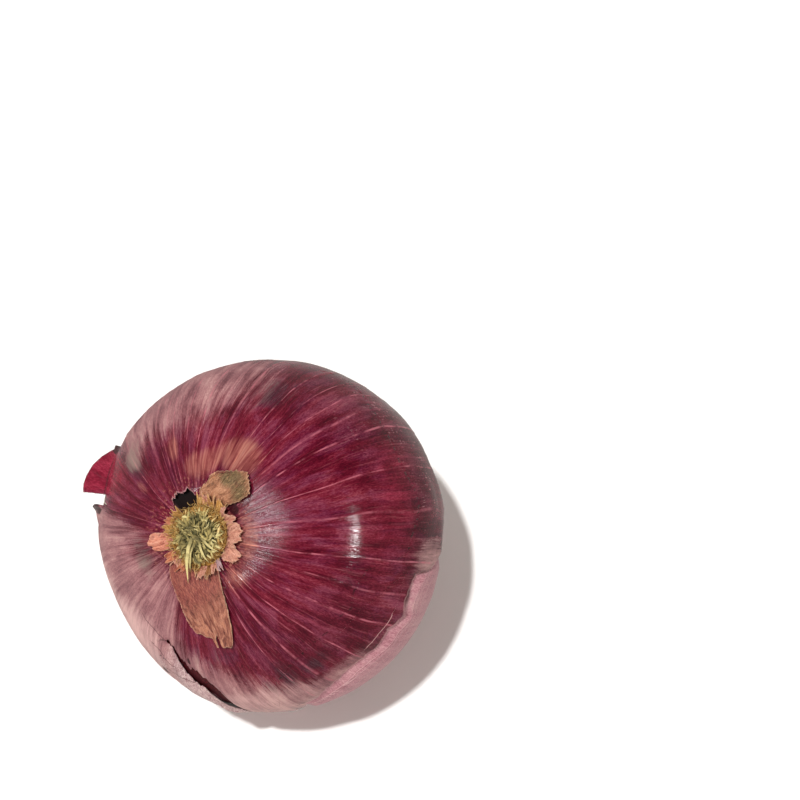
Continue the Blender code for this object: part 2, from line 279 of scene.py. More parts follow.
# Darker wine red: partly the skin's own deeper tone, and in the first row a painted shade along the
# right edge.
DEEP_AND_SHADE = (
    (18, 84, 44, 16, 0.8),
    (-38, 56, 26, 12, 0.6),
    (-58, 44, 12, 16, 0.5),
    (60, 62, 22, 12, 0.35),
    (66, 20, 60, 4, 0.4),
    (122, 30, 20, 12, 0.55),
    (168, 26, 20, 8, 0.5),
    (-70, 22, 14, 8, 0.6),
)

# Narrow wrinkles of the skin: turn, angle, half width of the turn, of the angle, and strength.
WRINKLES = (
    (17.4, 24.5, 1.7, 4.0, 0.16),
    (8.6, 25.8, 1.7, 4.0, 0.16),
    (-5, 24.0, 1.8, 4.0, 0.1),
    (30, 22.5, 1.8, 4.0, 0.1),
)

# Where it shines most, and the duller skin round that.
GLOSSY = (
    (17.4, 24.5, 2.2, 3.4, 1.0),
    (8.6, 25.8, 2.2, 3.0, 1.0),
)
DULL = ((13, 25, 44, 13, 1.0),)
SKIN_MASKS = {
    "glow": GLOW,
    "flush": FLUSH,
    "smudge_and_shadow": SMUDGES_AND_SHADOW,
    "fleck_and_shade": FLECKS_AND_HOLE_SHADE,
    "light": PALE_RIM_AND_SHEEN,
    "deep": DEEP_AND_SHADE,
    "scuffs": SCUFFS,
    "glossy": GLOSSY,
    "dull": DULL,
}

# Where the skin is smoother, with faint veins only.
CALM = (
    (-152, 44, 30, 32, 0.85),
    (157, 60, 11, 12, 0.95),
    (178, 46, 10, 26, 0.7),
    (-112, 66, 14, 12, 0.7),
)

# Thin dark cracks and pale creases: points of turn and angle along each.
CRACKS = (
    ((-136, 42.6), (-131, 43.5), (-127, 43.0), (-122.5, 43.9), (-117, 44.0)),
    ((-126, 50.5), (-120, 50.0), (-116.5, 51.6), (-112, 52.4)),
    ((-121, 61.0), (-115, 57.5), (-109, 57.0), (-104, 58.8)),
    ((-73, 77.0), (-62, 77.6), (-52, 76.0)),
)
CREASES = (
    ((-39, 71.6), (-34.3, 72.8), (-29.9, 74.0), (-26.2, 74.5)),
    ((-24.0, 80.6), (-29.7, 79.6), (-35.5, 77.9), (-43, 75.2)),
)

# A crack that runs from the root side down to the notch: its turn, its top and its end.
MERIDIAN_TEAR = (167.3, 23, 60)

# Heights and thicknesses of the finer shapes, with half the width of a vein in millimetres.
VEIN_HEIGHT = 0.08 * MM
VEIN_HALF = 0.24
WRINKLE_HEIGHT = 0.28 * MM
SKIN_WAVES = 0.13 * MM
LIP_DROP = 0.3 * MM
LEAF_RISE = 0.95 * MM
LAYER_STEP = 0.10 * MM
FLAKE_THICKNESS = 0.14 * MM
LOWEST = 0.6 * MM

# Where the split, the dark hollow beside the tuft and the curled flap at the left are.
SPLIT_FIRST = SPLIT[0][0]
SPLIT_LAST = SPLIT[-1][0]
HOLLOW_TURN = 115
HOLLOW_DOWN = 16.2
HOLLOW_DEPTH = 1.1 * MM
FLAP_TURN = 157
FLAP_START = 146.5
FLAP_END = 166.5


def srgb(red, green, blue):
    """A colour given as it looks on a screen, 0 to 255, as the shader wants it."""
    return tuple(
        c / 12.92 if c <= 0.04045 else ((c + 0.055) / 1.055) ** 2.4
        for c in (red / 255, green / 255, blue / 255)
    ) + (1.0,)


def onion_axes():
    """The onion's own axes as columns: two across its root axis, and that axis."""
    across = Vector((1, 0, 0)) - ROOT_AXIS * ROOT_AXIS.x
    across.normalize()
    return Matrix((across, ROOT_AXIS.cross(across), ROOT_AXIS)).transposed()


AXES = onion_axes()
AXES_ARRAY = np.array(AXES)

# Millimetres on the equator for each degree.
DEGREE = 0.684

# How far in millimetres a point is said to be from a line that is nowhere near it.
FAR = 9.0


def smooth_through(points, x):
    """The value at x of a smooth curve through these points."""
    if x <= points[0][0]:
        return points[0][1]
    for i in range(len(points) - 1):
        (x0, y0), (x1, y1) = points[i], points[i + 1]
        if x <= x1:
            xa, ya = points[max(i - 1, 0)]
            xb, yb = points[min(i + 2, len(points) - 1)]
            t = (x - x0) / (x1 - x0)
            rise0 = (y1 - ya) / (x1 - xa) * (x1 - x0)
            rise1 = (yb - y0) / (xb - x0) * (x1 - x0)
            return (
                y0 * (1 + 2 * t) * (1 - t) ** 2
                + rise0 * t * (1 - t) ** 2
                + y1 * t * t * (3 - 2 * t)
                - rise1 * t * t * (1 - t)
            )
    return points[-1][1]


FINE_ANGLES = np.linspace(0, 180, 721)
FINE_PROFILE = np.array([smooth_through(PROFILE, float(x)) for x in FINE_ANGLES])


def turned_by(a, b):
    """Degrees from turn b to turn a, the short way round."""
    return (a - b + 180) % 360 - 180


def read_off(table, x, column=1):
    """The table's value at x in this column, straight between its rows."""
    return np.interp(x, [row[0] for row in table], [row[column] for row in table])


def ring_noise(turn, knots, seed):
    """A smooth random function of the turn, from -1 to 1, with this many values round the ring."""
    values = np.random.default_rng(seed).uniform(-1, 1, knots)
    place = np.asarray(turn) % 360 / 360 * knots
    first = np.floor(place).astype(int)
    t = place - first
    t = t * t * (3 - 2 * t)
    return values[first % knots] * (1 - t) + values[(first + 1) % knots] * t


def patch_noise(turn, down, knots, step, seed):
    """A smooth random function of both angles, from -1 to 1."""
    row = np.asarray(down) / step
    first = np.floor(row).astype(int)
    t = row - first
    t = t * t * (3 - 2 * t)
    total = np.zeros(np.broadcast(turn, down).shape)
    for r in range(int(first.min()), int(first.max()) + 2):
        near = np.where(first == r, 1 - t, np.where(first == r - 1, t, 0.0))
        total = total + near * ring_noise(turn, knots, seed * 1000 + r + 50)
    return total


def bulb_radius(turn, down):
    """The bulb's radius with its swells, its fine ribs and its slight waves."""
    share = np.sin(np.radians(down))
    radius = np.interp(down, FINE_ANGLES, FINE_PROFILE) * EQUATOR
    for place, width, height in SWELLS:
        radius = radius + EQUATOR * height * share * np.exp(-((turned_by(turn, place) / width) ** 2))
    fade = share**2
    radius = radius + 0.05 * MM * fade * ring_noise(turn + 2 * np.sin(down / 17), 70, 3)
    radius = radius + 0.02 * MM * fade * ring_noise(turn + np.sin(down / 9), 190, 4)
    return radius + 0.16 * MM * fade * patch_noise(turn, down, 14, 22, 5)


def on_bulb(turn, down, lift, floor=0.0):
    """Points this far above the bulb's skin, no lower than the floor's height."""
    turn, down = np.broadcast_arrays(turn, down)
    t, d = np.radians(turn), np.radians(down)
    way = np.stack((np.sin(d) * np.cos(t), np.sin(d) * np.sin(t), np.cos(d)), axis=-1)
    points = (way * (bulb_radius(turn, down) + lift)[..., None]) @ AXES_ARRAY.T
    points = points + np.array(CENTRE)
    points[..., 2] = np.maximum(points[..., 2], floor)
    return points


def blobs(turn, down, table):
    """How strongly these patches cover each point, 0 to 1."""
    clear = np.ones(np.broadcast(turn, down).shape)
    for place, angle, wide, tall, strength in table:
        far = (turned_by(turn, place) / wide) ** 2 + ((down - angle) / tall) ** 2
        clear = clear * (1 - strength * np.exp(-(far**1.5)))
    return 1 - clear


def square_blob(turn, down, place, angle, wide, tall):
    """1 all over a patch with soft sides, and 0 beyond it."""
    return np.exp(-((turned_by(turn, place) / wide) ** 4) - ((down - angle) / tall) ** 4)


def nearer(first, second):
    """Of two distances with a sign, the one from the nearer line."""
    return np.where(np.abs(first) < np.abs(second), first, second)


def moved_off(distance, by):
    """A distance with a sign, made longer on its own side."""
    return np.sign(distance) * (np.abs(distance) + by)


def sheet_faces(rows, columns, closed, keep=None):
    """Quads of a grid, and for each corner its row and its column, unwrapped at the seam."""
    last = columns if closed else columns - 1
    r, c = np.meshgrid(np.arange(rows - 1), np.arange(last), indexing="ij")
    r, c = r.ravel(), c.ravel()
    if keep is not None:
        kept = keep[r, c]
        r, c = r[kept], c[kept]
    corner_rows = np.stack((r, r + 1, r + 1, r), axis=1)
    corner_columns = np.stack((c, c, c + 1, c + 1), axis=1)
    return corner_rows * columns + corner_columns % columns, corner_rows, corner_columns


def in_scene(name, data):
    made = bpy.data.objects.new(name, data)
    bpy.context.scene.collection.objects.link(made)
    return made


def new_object(name, points, faces):
    """A smooth object of the onion from arrays, or from faces as a list."""
    mesh = bpy.data.meshes.new(name)
    corners = faces if isinstance(faces, list) else faces.tolist()
    mesh.from_pydata(np.asarray(points).reshape(-1, 3).tolist(), [], corners)
    mesh.shade_smooth()
    made = in_scene(name, mesh)
    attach(made, "root")
    return made


def add_values(made, name, values):
    attribute = made.data.attributes.new(name, "FLOAT", "POINT")
    attribute.data.foreach_set("value", np.asarray(values, dtype=np.float32).ravel())


def add_vectors(made, name, values):
    attribute = made.data.attributes.new(name, "FLOAT_VECTOR", "POINT")
    attribute.data.foreach_set("vector", np.asarray(values, dtype=np.float32).ravel())


def add_map(made, name, corners):
    """A UV map from a pair of numbers for each corner of each face."""
    layer = made.data.uv_layers.new(name=name)
    layer.data.foreach_set("uv", np.asarray(corners, dtype=np.float32).ravel())


def vein_places():
    """The turns and strengths of all veins: the clear ones, and finer ones in the room between."""
    draw = random.Random(21)
    veins = list(CLEAR_VEINS)
    turn = -180.0
    while turn < 178:
        if min(abs(turned_by(turn, place)) for place, _ in CLEAR_VEINS) > 2.4:
            veins.append((turn, draw.choice((0.0, 0.06, 0.12, 0.3))))
        turn += draw.uniform(*VEIN_STEP)
    return sorted(veins)


VEINS, VEIN_STRENGTH = (list(column) for column in zip(*vein_places()))
VEIN_STRENGTH = np.array(VEIN_STRENGTH)


def vein_phase(turn):
    """Grows by one from each vein to the next, so that whole numbers are on the veins."""
    count = len(VEINS)
    turns = np.array([VEINS[-1] - 360] + VEINS + [VEINS[0] + 360])
    phases = np.arange(-1, count + 1)
    laps = np.floor((turn + 180) / 360)
    return np.interp(turn - 360 * laps, turns, phases) + laps * count


def vein_room(turn):
    """Degrees from one vein to the next at each turn."""
    fine = 0.5
    return 2 * fine / np.maximum(vein_phase(turn + fine) - vein_phase(turn - fine), 1e-3)


def solidify(made, thickness):
    modifier = made.modifiers.new("thickness", "SOLIDIFY")
    modifier.thickness = thickness
    modifier.offset = 1.0
    modifier.use_even_offset = False


def face_out(made):
    """Turns the faces of a sheet away from the bulb's centre."""
    count = len(made.data.polygons)
    normals = np.empty(count * 3)
    centres = np.empty(count * 3)
    made.data.polygons.foreach_get("normal", normals)
    made.data.polygons.foreach_get("center", centres)
    away = centres.reshape(-1, 3) - np.array(CENTRE)
    if (normals.reshape(-1, 3) * away).sum() < 0:
        made.data.flip_normals()


def ring_vectors(turn, down):
    """Each point's place for textures: two numbers for the turn, one for the angle."""
    turn, down = np.broadcast_arrays(turn, down)
    t = np.radians(turn)
    return np.stack((np.cos(t), np.sin(t), down / 90), axis=-1)


# Shader helpers

class Shader:
    """The nodes of a material or of the world, with short calls for those used here."""

    def __init__(self, name, kind="materials"):
        self.owner = getattr(bpy.data, kind).new(name)
        self.owner.use_nodes = True
        self.tree = self.owner.node_tree

    def node(self, kind, **settings):
        made = self.tree.nodes.new(kind)
        for key, value in settings.items():
            setattr(made, key, value)
        return made

    def link(self, source, target):
        """Links a socket or a named attribute, or sets a number or a screen colour."""
        if isinstance(source, str):
            source = self.attribute(source)
        if hasattr(source, "is_linked"):
            self.tree.links.new(source, target)
        elif hasattr(target, "default_value"):
            target.default_value = srgb(*source) if isinstance(source, tuple) else source

    def attribute(self, name, output="Fac"):
        return self.node("ShaderNodeAttribute", attribute_name=name).outputs[output]

    def math(self, operation, first, second=0.0, third=0.0, clamp=False):
        made = self.node("ShaderNodeMath", operation=operation, use_clamp=clamp)
        for socket, value in zip(made.inputs, (first, second, third)):
            self.link(value, socket)
        return made.outputs[0]

    def times(self, first, second):
        return self.math("MULTIPLY", first, second)

    def times_add(self, first, second, third):
        return self.math("MULTIPLY_ADD", first, second, third)

    def scaled(self, vector, scale):
        made = self.node("ShaderNodeVectorMath", operation="MULTIPLY")
        self.link(vector, made.inputs[0])
        made.inputs[1].default_value = scale
        return made.outputs[0]

    def noise(self, vector, scale, detail=3.0, roughness=0.55, distortion=0.0):
        """Noise of one scale, or stretched by three."""
        if isinstance(scale, tuple):
            vector, scale = self.scaled(vector, scale), 1.0
        made = self.node("ShaderNodeTexNoise", noise_dimensions="3D")
        sockets = ("Vector", "Scale", "Detail", "Roughness", "Distortion")
        for socket, value in zip(sockets, (vector, scale, detail, roughness, distortion)):
            self.link(value, made.inputs[socket])
        return made.outputs["Fac"]

    def random(self, value):
        made = self.node("ShaderNodeTexWhiteNoise", noise_dimensions="1D")
        self.link(value, made.inputs["W"])
        return made.outputs["Value"]

    def range(self, value, low, high, to_low=0.0, to_high=1.0):
        made = self.node("ShaderNodeMapRange", clamp=True, interpolation_type="SMOOTHSTEP")
        sockets = ("Value", "From Min", "From Max", "To Min", "To Max")
        for socket, number in zip(sockets, (value, low, high, to_low, to_high)):
            self.link(number, made.inputs[socket])
        return made.outputs[0]

    def mix(self, factor, first, second):
        made = self.node("ShaderNodeMix", data_type="RGBA")
        self.link(factor, made.inputs["Factor"])
        self.link(first, made.inputs["A"])
        self.link(second, made.inputs["B"])
        return made.outputs["Result"]

    def stirred(self, value, noise, push):
        """The value, moved up and down by noise."""
        return self.times_add(self.math("SUBTRACT", noise, 0.5), push, value)

    def near_line(self, name, inner, outer):
        """1 on the line whose distance this attribute holds, and 0 beyond the outer distance."""
        return self.range(self.math("ABSOLUTE", name), inner, outer, 1.0, 0.0)

    def cover(self, base, share, most, colour):
        """The base with a colour over it, where share says and no more than most."""
        return self.mix(self.times(share, most), base, colour)

    def ramp(self, value, *stops):
        made = self.node("ShaderNodeValToRGB")
        band = made.color_ramp
        while len(band.elements) < len(stops):
            band.elements.new(0.5)
        for element, (place, colour) in zip(band.elements, stops):
            element.position = place
            element.color = srgb(*colour)
        self.link(value, made.inputs["Fac"])
        return made.outputs["Color"]

    def bump(self, height, distance, strength, normal=None):
        made = self.node("ShaderNodeBump")
        made.inputs["Strength"].default_value = strength
        made.inputs["Distance"].default_value = distance
        self.link(height, made.inputs["Height"])
        if normal is not None:
            self.link(normal, made.inputs["Normal"])
        return made.outputs["Normal"]

    def finish(self, colour, roughness, specular, normal=None):
        """Gives the colour, the roughness and the specular level, and returns the material."""
        inputs = self.tree.nodes["Principled BSDF"].inputs
        self.link(colour, inputs["Base Color"])
        self.link(roughness, inputs["Roughness"])
        inputs["Specular IOR Level"].default_value = specular
        if normal is not None:
            self.link(normal, inputs["Normal"])
        return self.owner


def vein_nodes(s, narrow, wide):
    """How much of a vein there is at each point, from the map whose first number is its phase."""
    place = s.node("ShaderNodeUVMap", uv_map="veins").outputs["UV"]
    split = s.node("ShaderNodeSeparateXYZ")
    s.link(place, split.inputs[0])
    phase, down = split.outputs[0], split.outputs[1]
    index = s.math("ROUND", phase)
    off = s.math("ABSOLUTE", s.math("SUBTRACT", phase, index))
    off = s.times(off, "room")
    own = s.random(index)
    along = s.node("ShaderNodeCombineXYZ")
    s.link(s.times(index, 7.3), along.inputs[0])
    s.link(down, along.inputs[1])
    swell = s.noise(along.outputs[0], 1.7, 3.0)
    half = s.times(s.times_add(own, wide, narrow), swell)
    half = s.times(half, "spread")
    line = s.range(s.math("DIVIDE", off, half), 0.35, 2.0, 1.0, 0.0)
    broken = s.range(s.noise(along.outputs[0], 1.6, 4.0), 0.38, 0.64, 0.04, 1.0)
    return s.times(s.times(line, broken), "power")


def skin_material():
    """Dry outer skin: wine red with pale veins, dusty mauve where its surface has gone matte."""
    s = Shader("outer_skin_dry")
    ring = s.attribute("ring", "Vector")
    streaks = s.noise(ring, (24, 24, 2.6), 5.0, 0.62)
    fine = s.noise(ring, (105, 105, 10), 3.0, 0.65)
    grain = s.noise(ring, (170, 170, 95), 2.0, 0.6)
    cloud = s.noise(ring, (3.4, 3.4, 4.6), 5.0, 0.62, 0.5)
    blotch = s.noise(ring, (11, 11, 7), 4.0, 0.62, 0.4)
    tone = s.times_add(streaks, 0.34, s.times(cloud, 0.3))
    tone = s.times_add(grain, 0.3, s.times_add(blotch, 0.32, tone))
    wine = s.ramp(
        tone,
        (0.50, (62, 3, 20)),
        (0.59, (88, 9, 30)),
        (0.66, (114, 29, 47)),
        (0.77, (154, 72, 82)),
    )
    purple = s.ramp(tone, (0.50, (50, 5, 30)), (0.62, (86, 20, 50)), (0.77, (136, 64, 86)))
    base = s.mix(s.range(blotch, 0.42, 0.64, 0.0, 0.7), wine, purple)
    # Darker wine red where the deep patches lie, partly a painted shade along the right edge.
    deep = s.times("deep", s.range(cloud, 0.25, 0.6, 0.45, 0.8))
    dark_wine_and_shade = s.ramp(tone, (0.52, (34, 2, 14)), (0.64, (66, 6, 26)), (0.78, (112, 38, 56)))
    base = s.mix(deep, base, dark_wine_and_shade)
    torn = s.times_add(fine, 0.35, s.times_add(streaks, 0.35, s.times(blotch, 0.3)))

    def masked(name, low, high, push):
        return s.range(s.stirred(name, torn, push), low, high)

    flush = masked("flush", 0.3, 0.75, 1.2)
    fresh = s.ramp(tone, (0.52, (74, 2, 20)), (0.66, (118, 9, 38)), (0.80, (164, 46, 70)))
    base = s.cover(base, flush, 0.92, fresh)
    glow = masked("glow", 0.3, 0.95, 1.6)
    patchy = s.times_add(streaks, 0.45, s.times(blotch, 0.55))
    amber = s.ramp(patchy, (0.38, (104, 40, 44)), (0.5, (146, 82, 74)), (0.62, (182, 122, 104)))
    base = s.cover(base, glow, 0.8, amber)
    pale = masked("pale", 0.2, 0.95, 1.5)
    mauve = s.ramp(
        tone,
        (0.50, (108, 60, 68)),
        (0.59, (142, 94, 98)),
        (0.68, (168, 120, 120)),
        (0.80, (198, 156, 150)),
    )
    base = s.cover(base, pale, 0.93, mauve)
    # Paler towards the lower and left rim: partly pale skin, partly a painted sheen and bounce light.
    light = masked("light", 0.1, 0.85, 1.4)
    base = s.cover(base, light, 0.75, (228, 186, 180))
    # Dark grey smudges of the skin, and near the top a painted shadow.
    smudge_and_shadow = s.stirred(s.stirred("smudge_and_shadow", blotch, 2.0), fine, 1.2)
    smudge_and_shadow = s.range(smudge_and_shadow, 0.2, 1.1)
    base = s.cover(base, smudge_and_shadow, 0.8, s.mix(pale, (54, 32, 40), (128, 112, 102)))
    lively = s.times_add("calm", -0.22, 0.26)
    lines = s.range(fine, 0.56, 0.74)
    base = s.mix(s.times(lines, lively), base, (180, 104, 110))
    dark_lines = s.range(fine, 0.42, 0.27)
    base = s.mix(s.times(dark_lines, lively), base, (58, 6, 24))
    bits = s.noise(ring, (26, 26, 60), 4.0, 0.65)
    near_root = s.attribute("near_root")
    tan_bits = s.times(near_root, s.range(bits, 0.53, 0.66, 0.0, 0.5))
    base = s.mix(tan_bits, base, (184, 122, 100))
    dark_bits = s.times(near_root, s.range(bits, 0.46, 0.38, 0.0, 0.7))
    base = s.mix(dark_bits, base, (62, 14, 24))
    scratches = s.times("scuffs", s.range(bits, 0.57, 0.62))
    scratches = s.times(scratches, s.range(fine, 0.48, 0.6))
    base = s.cover(base, scratches, 0.7, (204, 150, 154))
    vein = vein_nodes(s, 0.11, 0.36)
    tint = s.mix("glow", (196, 108, 122), (214, 136, 112))
    base = s.cover(base, vein, 0.8, tint)
    strip = s.attribute("strip")
    dusty = s.ramp(
        s.math("ADD", grain, s.times(fine, 0.2)),
        (0.45, (146, 108, 114)),
        (0.6, (190, 158, 158)),
        (0.75, (218, 196, 190)),
    )
    base = s.cover(base, strip, 0.82, dusty)
    webs = s.node("ShaderNodeTexVoronoi", feature="DISTANCE_TO_EDGE")
    s.link(s.scaled(ring, (46, 46, 34)), webs.inputs["Vector"])
    web = s.range(webs.outputs["Distance"], 0.0, 0.05, 1.0, 0.0)
    web = s.times(web, s.range(blotch, 0.5, 0.6))
    base = s.cover(base, s.times(web, strip), 0.8, (84, 40, 48))
    rim = s.range("edge", 0.0, 0.5, 1.0, 0.0)
    rim = s.times(rim, s.math("SUBTRACT", 1.0, flush, clamp=True))
    base = s.cover(base, rim, 0.5, (214, 166, 164))
    # Painted shade: a dark line along the crease where the curled flap turns out from the skin.
    fold = s.near_line("fold", 0.05, 0.55)
    base = s.cover(base, fold, 0.75, (46, 4, 14))
    crease = s.near_line("crease", 0.03, 0.16)
    base = s.cover(base, crease, 0.8, (222, 170, 168))
    crack = s.near_line("crack", 0.05, 0.17)
    crack = s.times(crack, s.range(grain, 0.3, 0.5, 0.4, 1.0))
    base = s.mix(crack, base, (74, 16, 28))
    # Dark flecks, and a painted shade in a small hole beside the collar.
    fleck_and_shade = masked("fleck_and_shade", 0.35, 0.6, 1.6)
    base = s.cover(base, fleck_and_shade, 0.9, (48, 12, 18))
    matte = s.math("MAXIMUM", pale, s.times(smudge_and_shadow, 0.5))
    rough = s.times_add(matte, 0.30, s.times_add(grain, 0.14, 0.09))
    dull = s.times_add("dull", 0.55, 1.0)
    shine = s.times_add("glossy", -0.3, 1.0)
    rough = s.times(rough, s.times(dull, shine))
    relief = s.times_add(fine, 1.0, s.times(streaks, 0.8))
    normal = s.bump(relief, 0.12 * MM, 0.3)
    normal = s.bump(grain, 0.06 * MM, 0.25, normal)
    return s.finish(base, rough, 0.22, normal)


def flesh_material():
    """The bulb under the torn skin: smooth pink leaf with fine red-purple lines, dry at the neck."""
    s = Shader("bulb_leaf")
    ring = s.attribute("ring", "Vector")
    streaks = s.noise(ring, (34, 34, 2.4), 5.0, 0.62)
    fine = s.noise(ring, (130, 130, 12), 3.0, 0.6)
    grain = s.noise(ring, (170, 170, 95), 2.0, 0.6)
    cloud = s.noise(ring, (3.2, 3.2, 3.8), 4.0, 0.58, 0.4)
    tone = s.times_add(streaks, 0.45, s.times_add(grain, 0.3, s.times(cloud, 0.4)))
    base = s.ramp(
        tone,
        (0.48, (142, 74, 92)),
        (0.56, (178, 116, 128)),
        (0.64, (198, 146, 152)),
        (0.74, (216, 178, 176)),
    )
    vein = vein_nodes(s, 0.16, 0.3)
    base = s.cover(base, vein, 0.45, (140, 58, 84))
    base = s.cover(base, s.range(fine, 0.56, 0.7), 0.35, (222, 184, 182))
    layer = s.attribute("layer")
    bare = s.attribute("bare")
    smooth_band = s.ramp(grain, (0.4, (172, 110, 122)), (0.62, (204, 150, 154)))
    base = s.cover(base, bare, 0.6, smooth_band)
    dark_side = s.times(s.range(layer, -0.02, 0.05), s.range(layer, 0.35, 0.12))
    light_side = s.times(s.range(layer, -0.34, -0.16), s.range(layer, 0.02, -0.05))
    base = s.cover(base, dark_side, 0.5, (132, 62, 80))
    base = s.cover(base, light_side, 0.5, (228, 190, 190))
    greenish = s.ramp(fine, (0.4, (160, 160, 132)), (0.62, (214, 208, 188)))
    base = s.mix("green", base, greenish)
    # Painted shade: near black in the hollow beside the tuft, dark red-brown inside the split and under
    # the lifted skin edge.
    dark = s.attribute("shade")
    place = s.node("ShaderNodeSeparateXYZ")
    s.link(ring, place.inputs[0])
    open_skin = s.range(place.outputs[2], 0.25, 0.45)
    inside = s.ramp(grain, (0.4, (46, 4, 10)), (0.65, (96, 14, 26)))
    base = s.mix(dark, base, s.mix(open_skin, (18, 4, 3), inside))
    dry = s.attribute("dry")
    straw = s.ramp(fine, (0.3, (132, 82, 52)), (0.5, (176, 128, 84)), (0.72, (208, 172, 126)))
    base = s.mix(dry, base, straw)
    rough = s.times_add(s.math("MAXIMUM", dry, dark), 0.45, s.times_add(grain, 0.2, 0.26))
    normal = s.bump(s.math("ADD", streaks, fine), 0.10 * MM, 0.5)
    return s.finish(base, rough, 0.25, normal)


def paper_material(name, dark, middle, light, spots, rough):
    """Dry papery flakes, ribbed along their length, mottled and paler at their torn edges."""
    s = Shader(name)
    along = s.attribute("leaf", "Vector")
    ribs = s.noise(s.scaled(along, (1.0, 0.12, 1.0)), 2.2, 4.0, 0.6)
    fine = s.noise(s.scaled(along, (1.0, 0.2, 1.0)), 6.0, 3.0, 0.6)
    mottle = s.noise(s.scaled(along, (1.0, 0.6, 1.0)), 0.62, 5.0, 0.72, 0.8)
    grain = s.noise(along, 7.0, 2.0, 0.6)
    tone = s.times_add(mottle, 0.75, s.times_add(ribs, 0.28, s.times(grain, 0.22)))
    base = s.ramp(tone, (0.50, dark), (0.62, middle), (0.76, light))
    base = s.cover(base, s.range(mottle, 0.54, 0.66), 0.7, spots)
    stain = s.range(s.stirred("stain", mottle, 2.0), 0.2, 0.85)
    olive = s.ramp(fine, (0.4, (58, 48, 24)), (0.6, (116, 100, 62)))
    base = s.cover(base, stain, 0.85, olive)
    red = s.range(s.stirred("red", mottle, 2.4), 0.3, 0.8)
    reddish = s.ramp(fine, (0.4, (104, 36, 38)), (0.62, (160, 82, 70)))
    base = s.cover(base, red, 0.8, reddish)
    base = s.cover(base, s.range(fine, 0.56, 0.7), 0.28, light)
    base = s.cover(base, s.range(fine, 0.42, 0.28), 0.28, dark)
    rim = s.range("rim", 0.0, 0.3, 1.0, 0.0)
    base = s.cover(base, rim, 0.35, (226, 186, 154))
    normal = s.bump(s.math("ADD", ribs, fine), 0.22 * MM, 0.8)
    return s.finish(base, rough, 0.35, normal)


def root_material():
    """Dry roots: greenish straw, golden towards the rim of the plate, darker at their foot."""
    s = Shader("dry_roots")
    own = s.attribute("tone")
    along = s.attribute("along")
    base = s.ramp(
        own,
        (0.0, (104, 98, 64)),
        (0.3, (148, 134, 84)),
        (0.6, (184, 166, 104)),
        (1.0, (214, 200, 142)),
    )
    gold = s.ramp(own, (0.0, (176, 118, 52)), (0.5, (212, 160, 84)), (1.0, (232, 196, 132)))
    base = s.mix("gold", base, gold)
    foot = s.range(along, 0.0, 0.45, 1.0, 0.0)
    base = s.cover(base, foot, 0.7, (66, 58, 26))
    spots = s.noise(s.attribute("leaf", "Vector"), 1.6, 3.0, 0.6)
    base = s.cover(base, s.range(spots, 0.5, 0.68), 0.5, (112, 98, 52))
    normal = s.bump(s.noise(s.attribute("leaf", "Vector"), 5.0, 3.0), 0.12 * MM, 0.8)
    return s.finish(base, 0.8, 0.3, normal)


def plate_material():
    """The corky root plate, brown-gold with dark pits between the roots."""
    s = Shader("root_plate")
    place = s.attribute("leaf", "Vector")
    pits = s.noise(place, 1.3, 4.0, 0.65)
    core = s.ramp(pits, (0.4, (36, 32, 16)), (0.54, (76, 72, 42)), (0.68, (120, 118, 80)))
    outer = s.ramp(pits, (0.35, (60, 40, 16)), (0.5, (124, 86, 38)), (0.68, (180, 134, 66)))
    base = s.mix("rim", core, outer)
    normal = s.bump(pits, 0.5 * MM, 0.9)
    return s.finish(base, 0.85, 0.25, normal)


# The bulb and its neck

# The neck's end frays from this share of its length on, by this much.
FRAY_START = 0.86
FRAY = 1.5 * MM


def neck_rings(count, turns):
    """Rings of the neck, as on the solid, with finer pleats and a frayed end."""
    last_row = math.radians(LAST_ROW)
    last_radius = PROFILE[-1][1] * EQUATOR
    base = CENTRE + ROOT_AXIS * -(last_radius * -math.cos(last_row))
    base_width = last_radius * math.sin(last_row)
    away = Vector((-ROOT_AXIS.x, -ROOT_AXIS.y, 0)).normalized()
    sideways = away.cross(Vector((0, 0, 1)))
    tip = base + away * NECK_LENGTH
    tip.z = NECK_TIP_HEIGHT
    first_upward = sideways.cross(-ROOT_AXIS)
    rings = []
    for r in range(1, count + 1):
        share = r / count
        rest = 1 - share
        middle = (
            base * (1 + 2 * share) * rest**2
            - ROOT_AXIS * (9 * MM * share * rest**2)
            + tip * share * share * (3 - 2 * share)
            - away * (26 * MM * share * share * rest)
        )
        bend = min(1.0, share * 2.2)
        facing = (-ROOT_AXIS * (1 - bend) + away * bend).normalized()
        upward = sideways.cross(facing)
        half_height = base_width + (NECK_TIP_HEIGHT - base_width) * min(1.0, share * 1.6)
        half_width = base_width + (NECK_TIP_WIDTH - base_width) * share
        deep = min(1.0, share * 3)
        pleats = 1 + deep * (
            0.05 * ring_noise(turns, 26, 31) + 0.05 * share * ring_noise(turns, 60, 32)
        )
        pleats = pleats + 0.08 * share * np.cos(np.radians(9 * turns))
        fray = 0.0
        if share > FRAY_START:
            fray = (share - FRAY_START) / (1 - FRAY_START) * FRAY * ring_noise(turns, 90, 33)
        ring = []
        for i, turn in enumerate(np.radians(turns)):
            column = AXES @ Vector((math.cos(turn), math.sin(turn), 0))
            across, up = column.dot(sideways), column.dot(first_upward)
            point = middle + (
                sideways * (half_width * across) + upward * (half_height * up)
            ) * float(pleats[i])
            if share > FRAY_START:
                point = point + facing * float(fray[i])
            ring.append((point.x, point.y, max(point.z, 0.0)))
        rings.append(ring)
    end = np.array(rings[-1])
    middle_end = end.mean(axis=0)
    inner = []
    for shrink, back in ((0.82, 0.6 * MM), (0.5, 2.2 * MM), (0.12, 3.2 * MM)):
        ring = middle_end + (end - middle_end) * shrink - np.array(away) * back
        ring[:, 2] = np.maximum(ring[:, 2], 0.0)
        inner.append(ring.tolist())
    return rings + inner


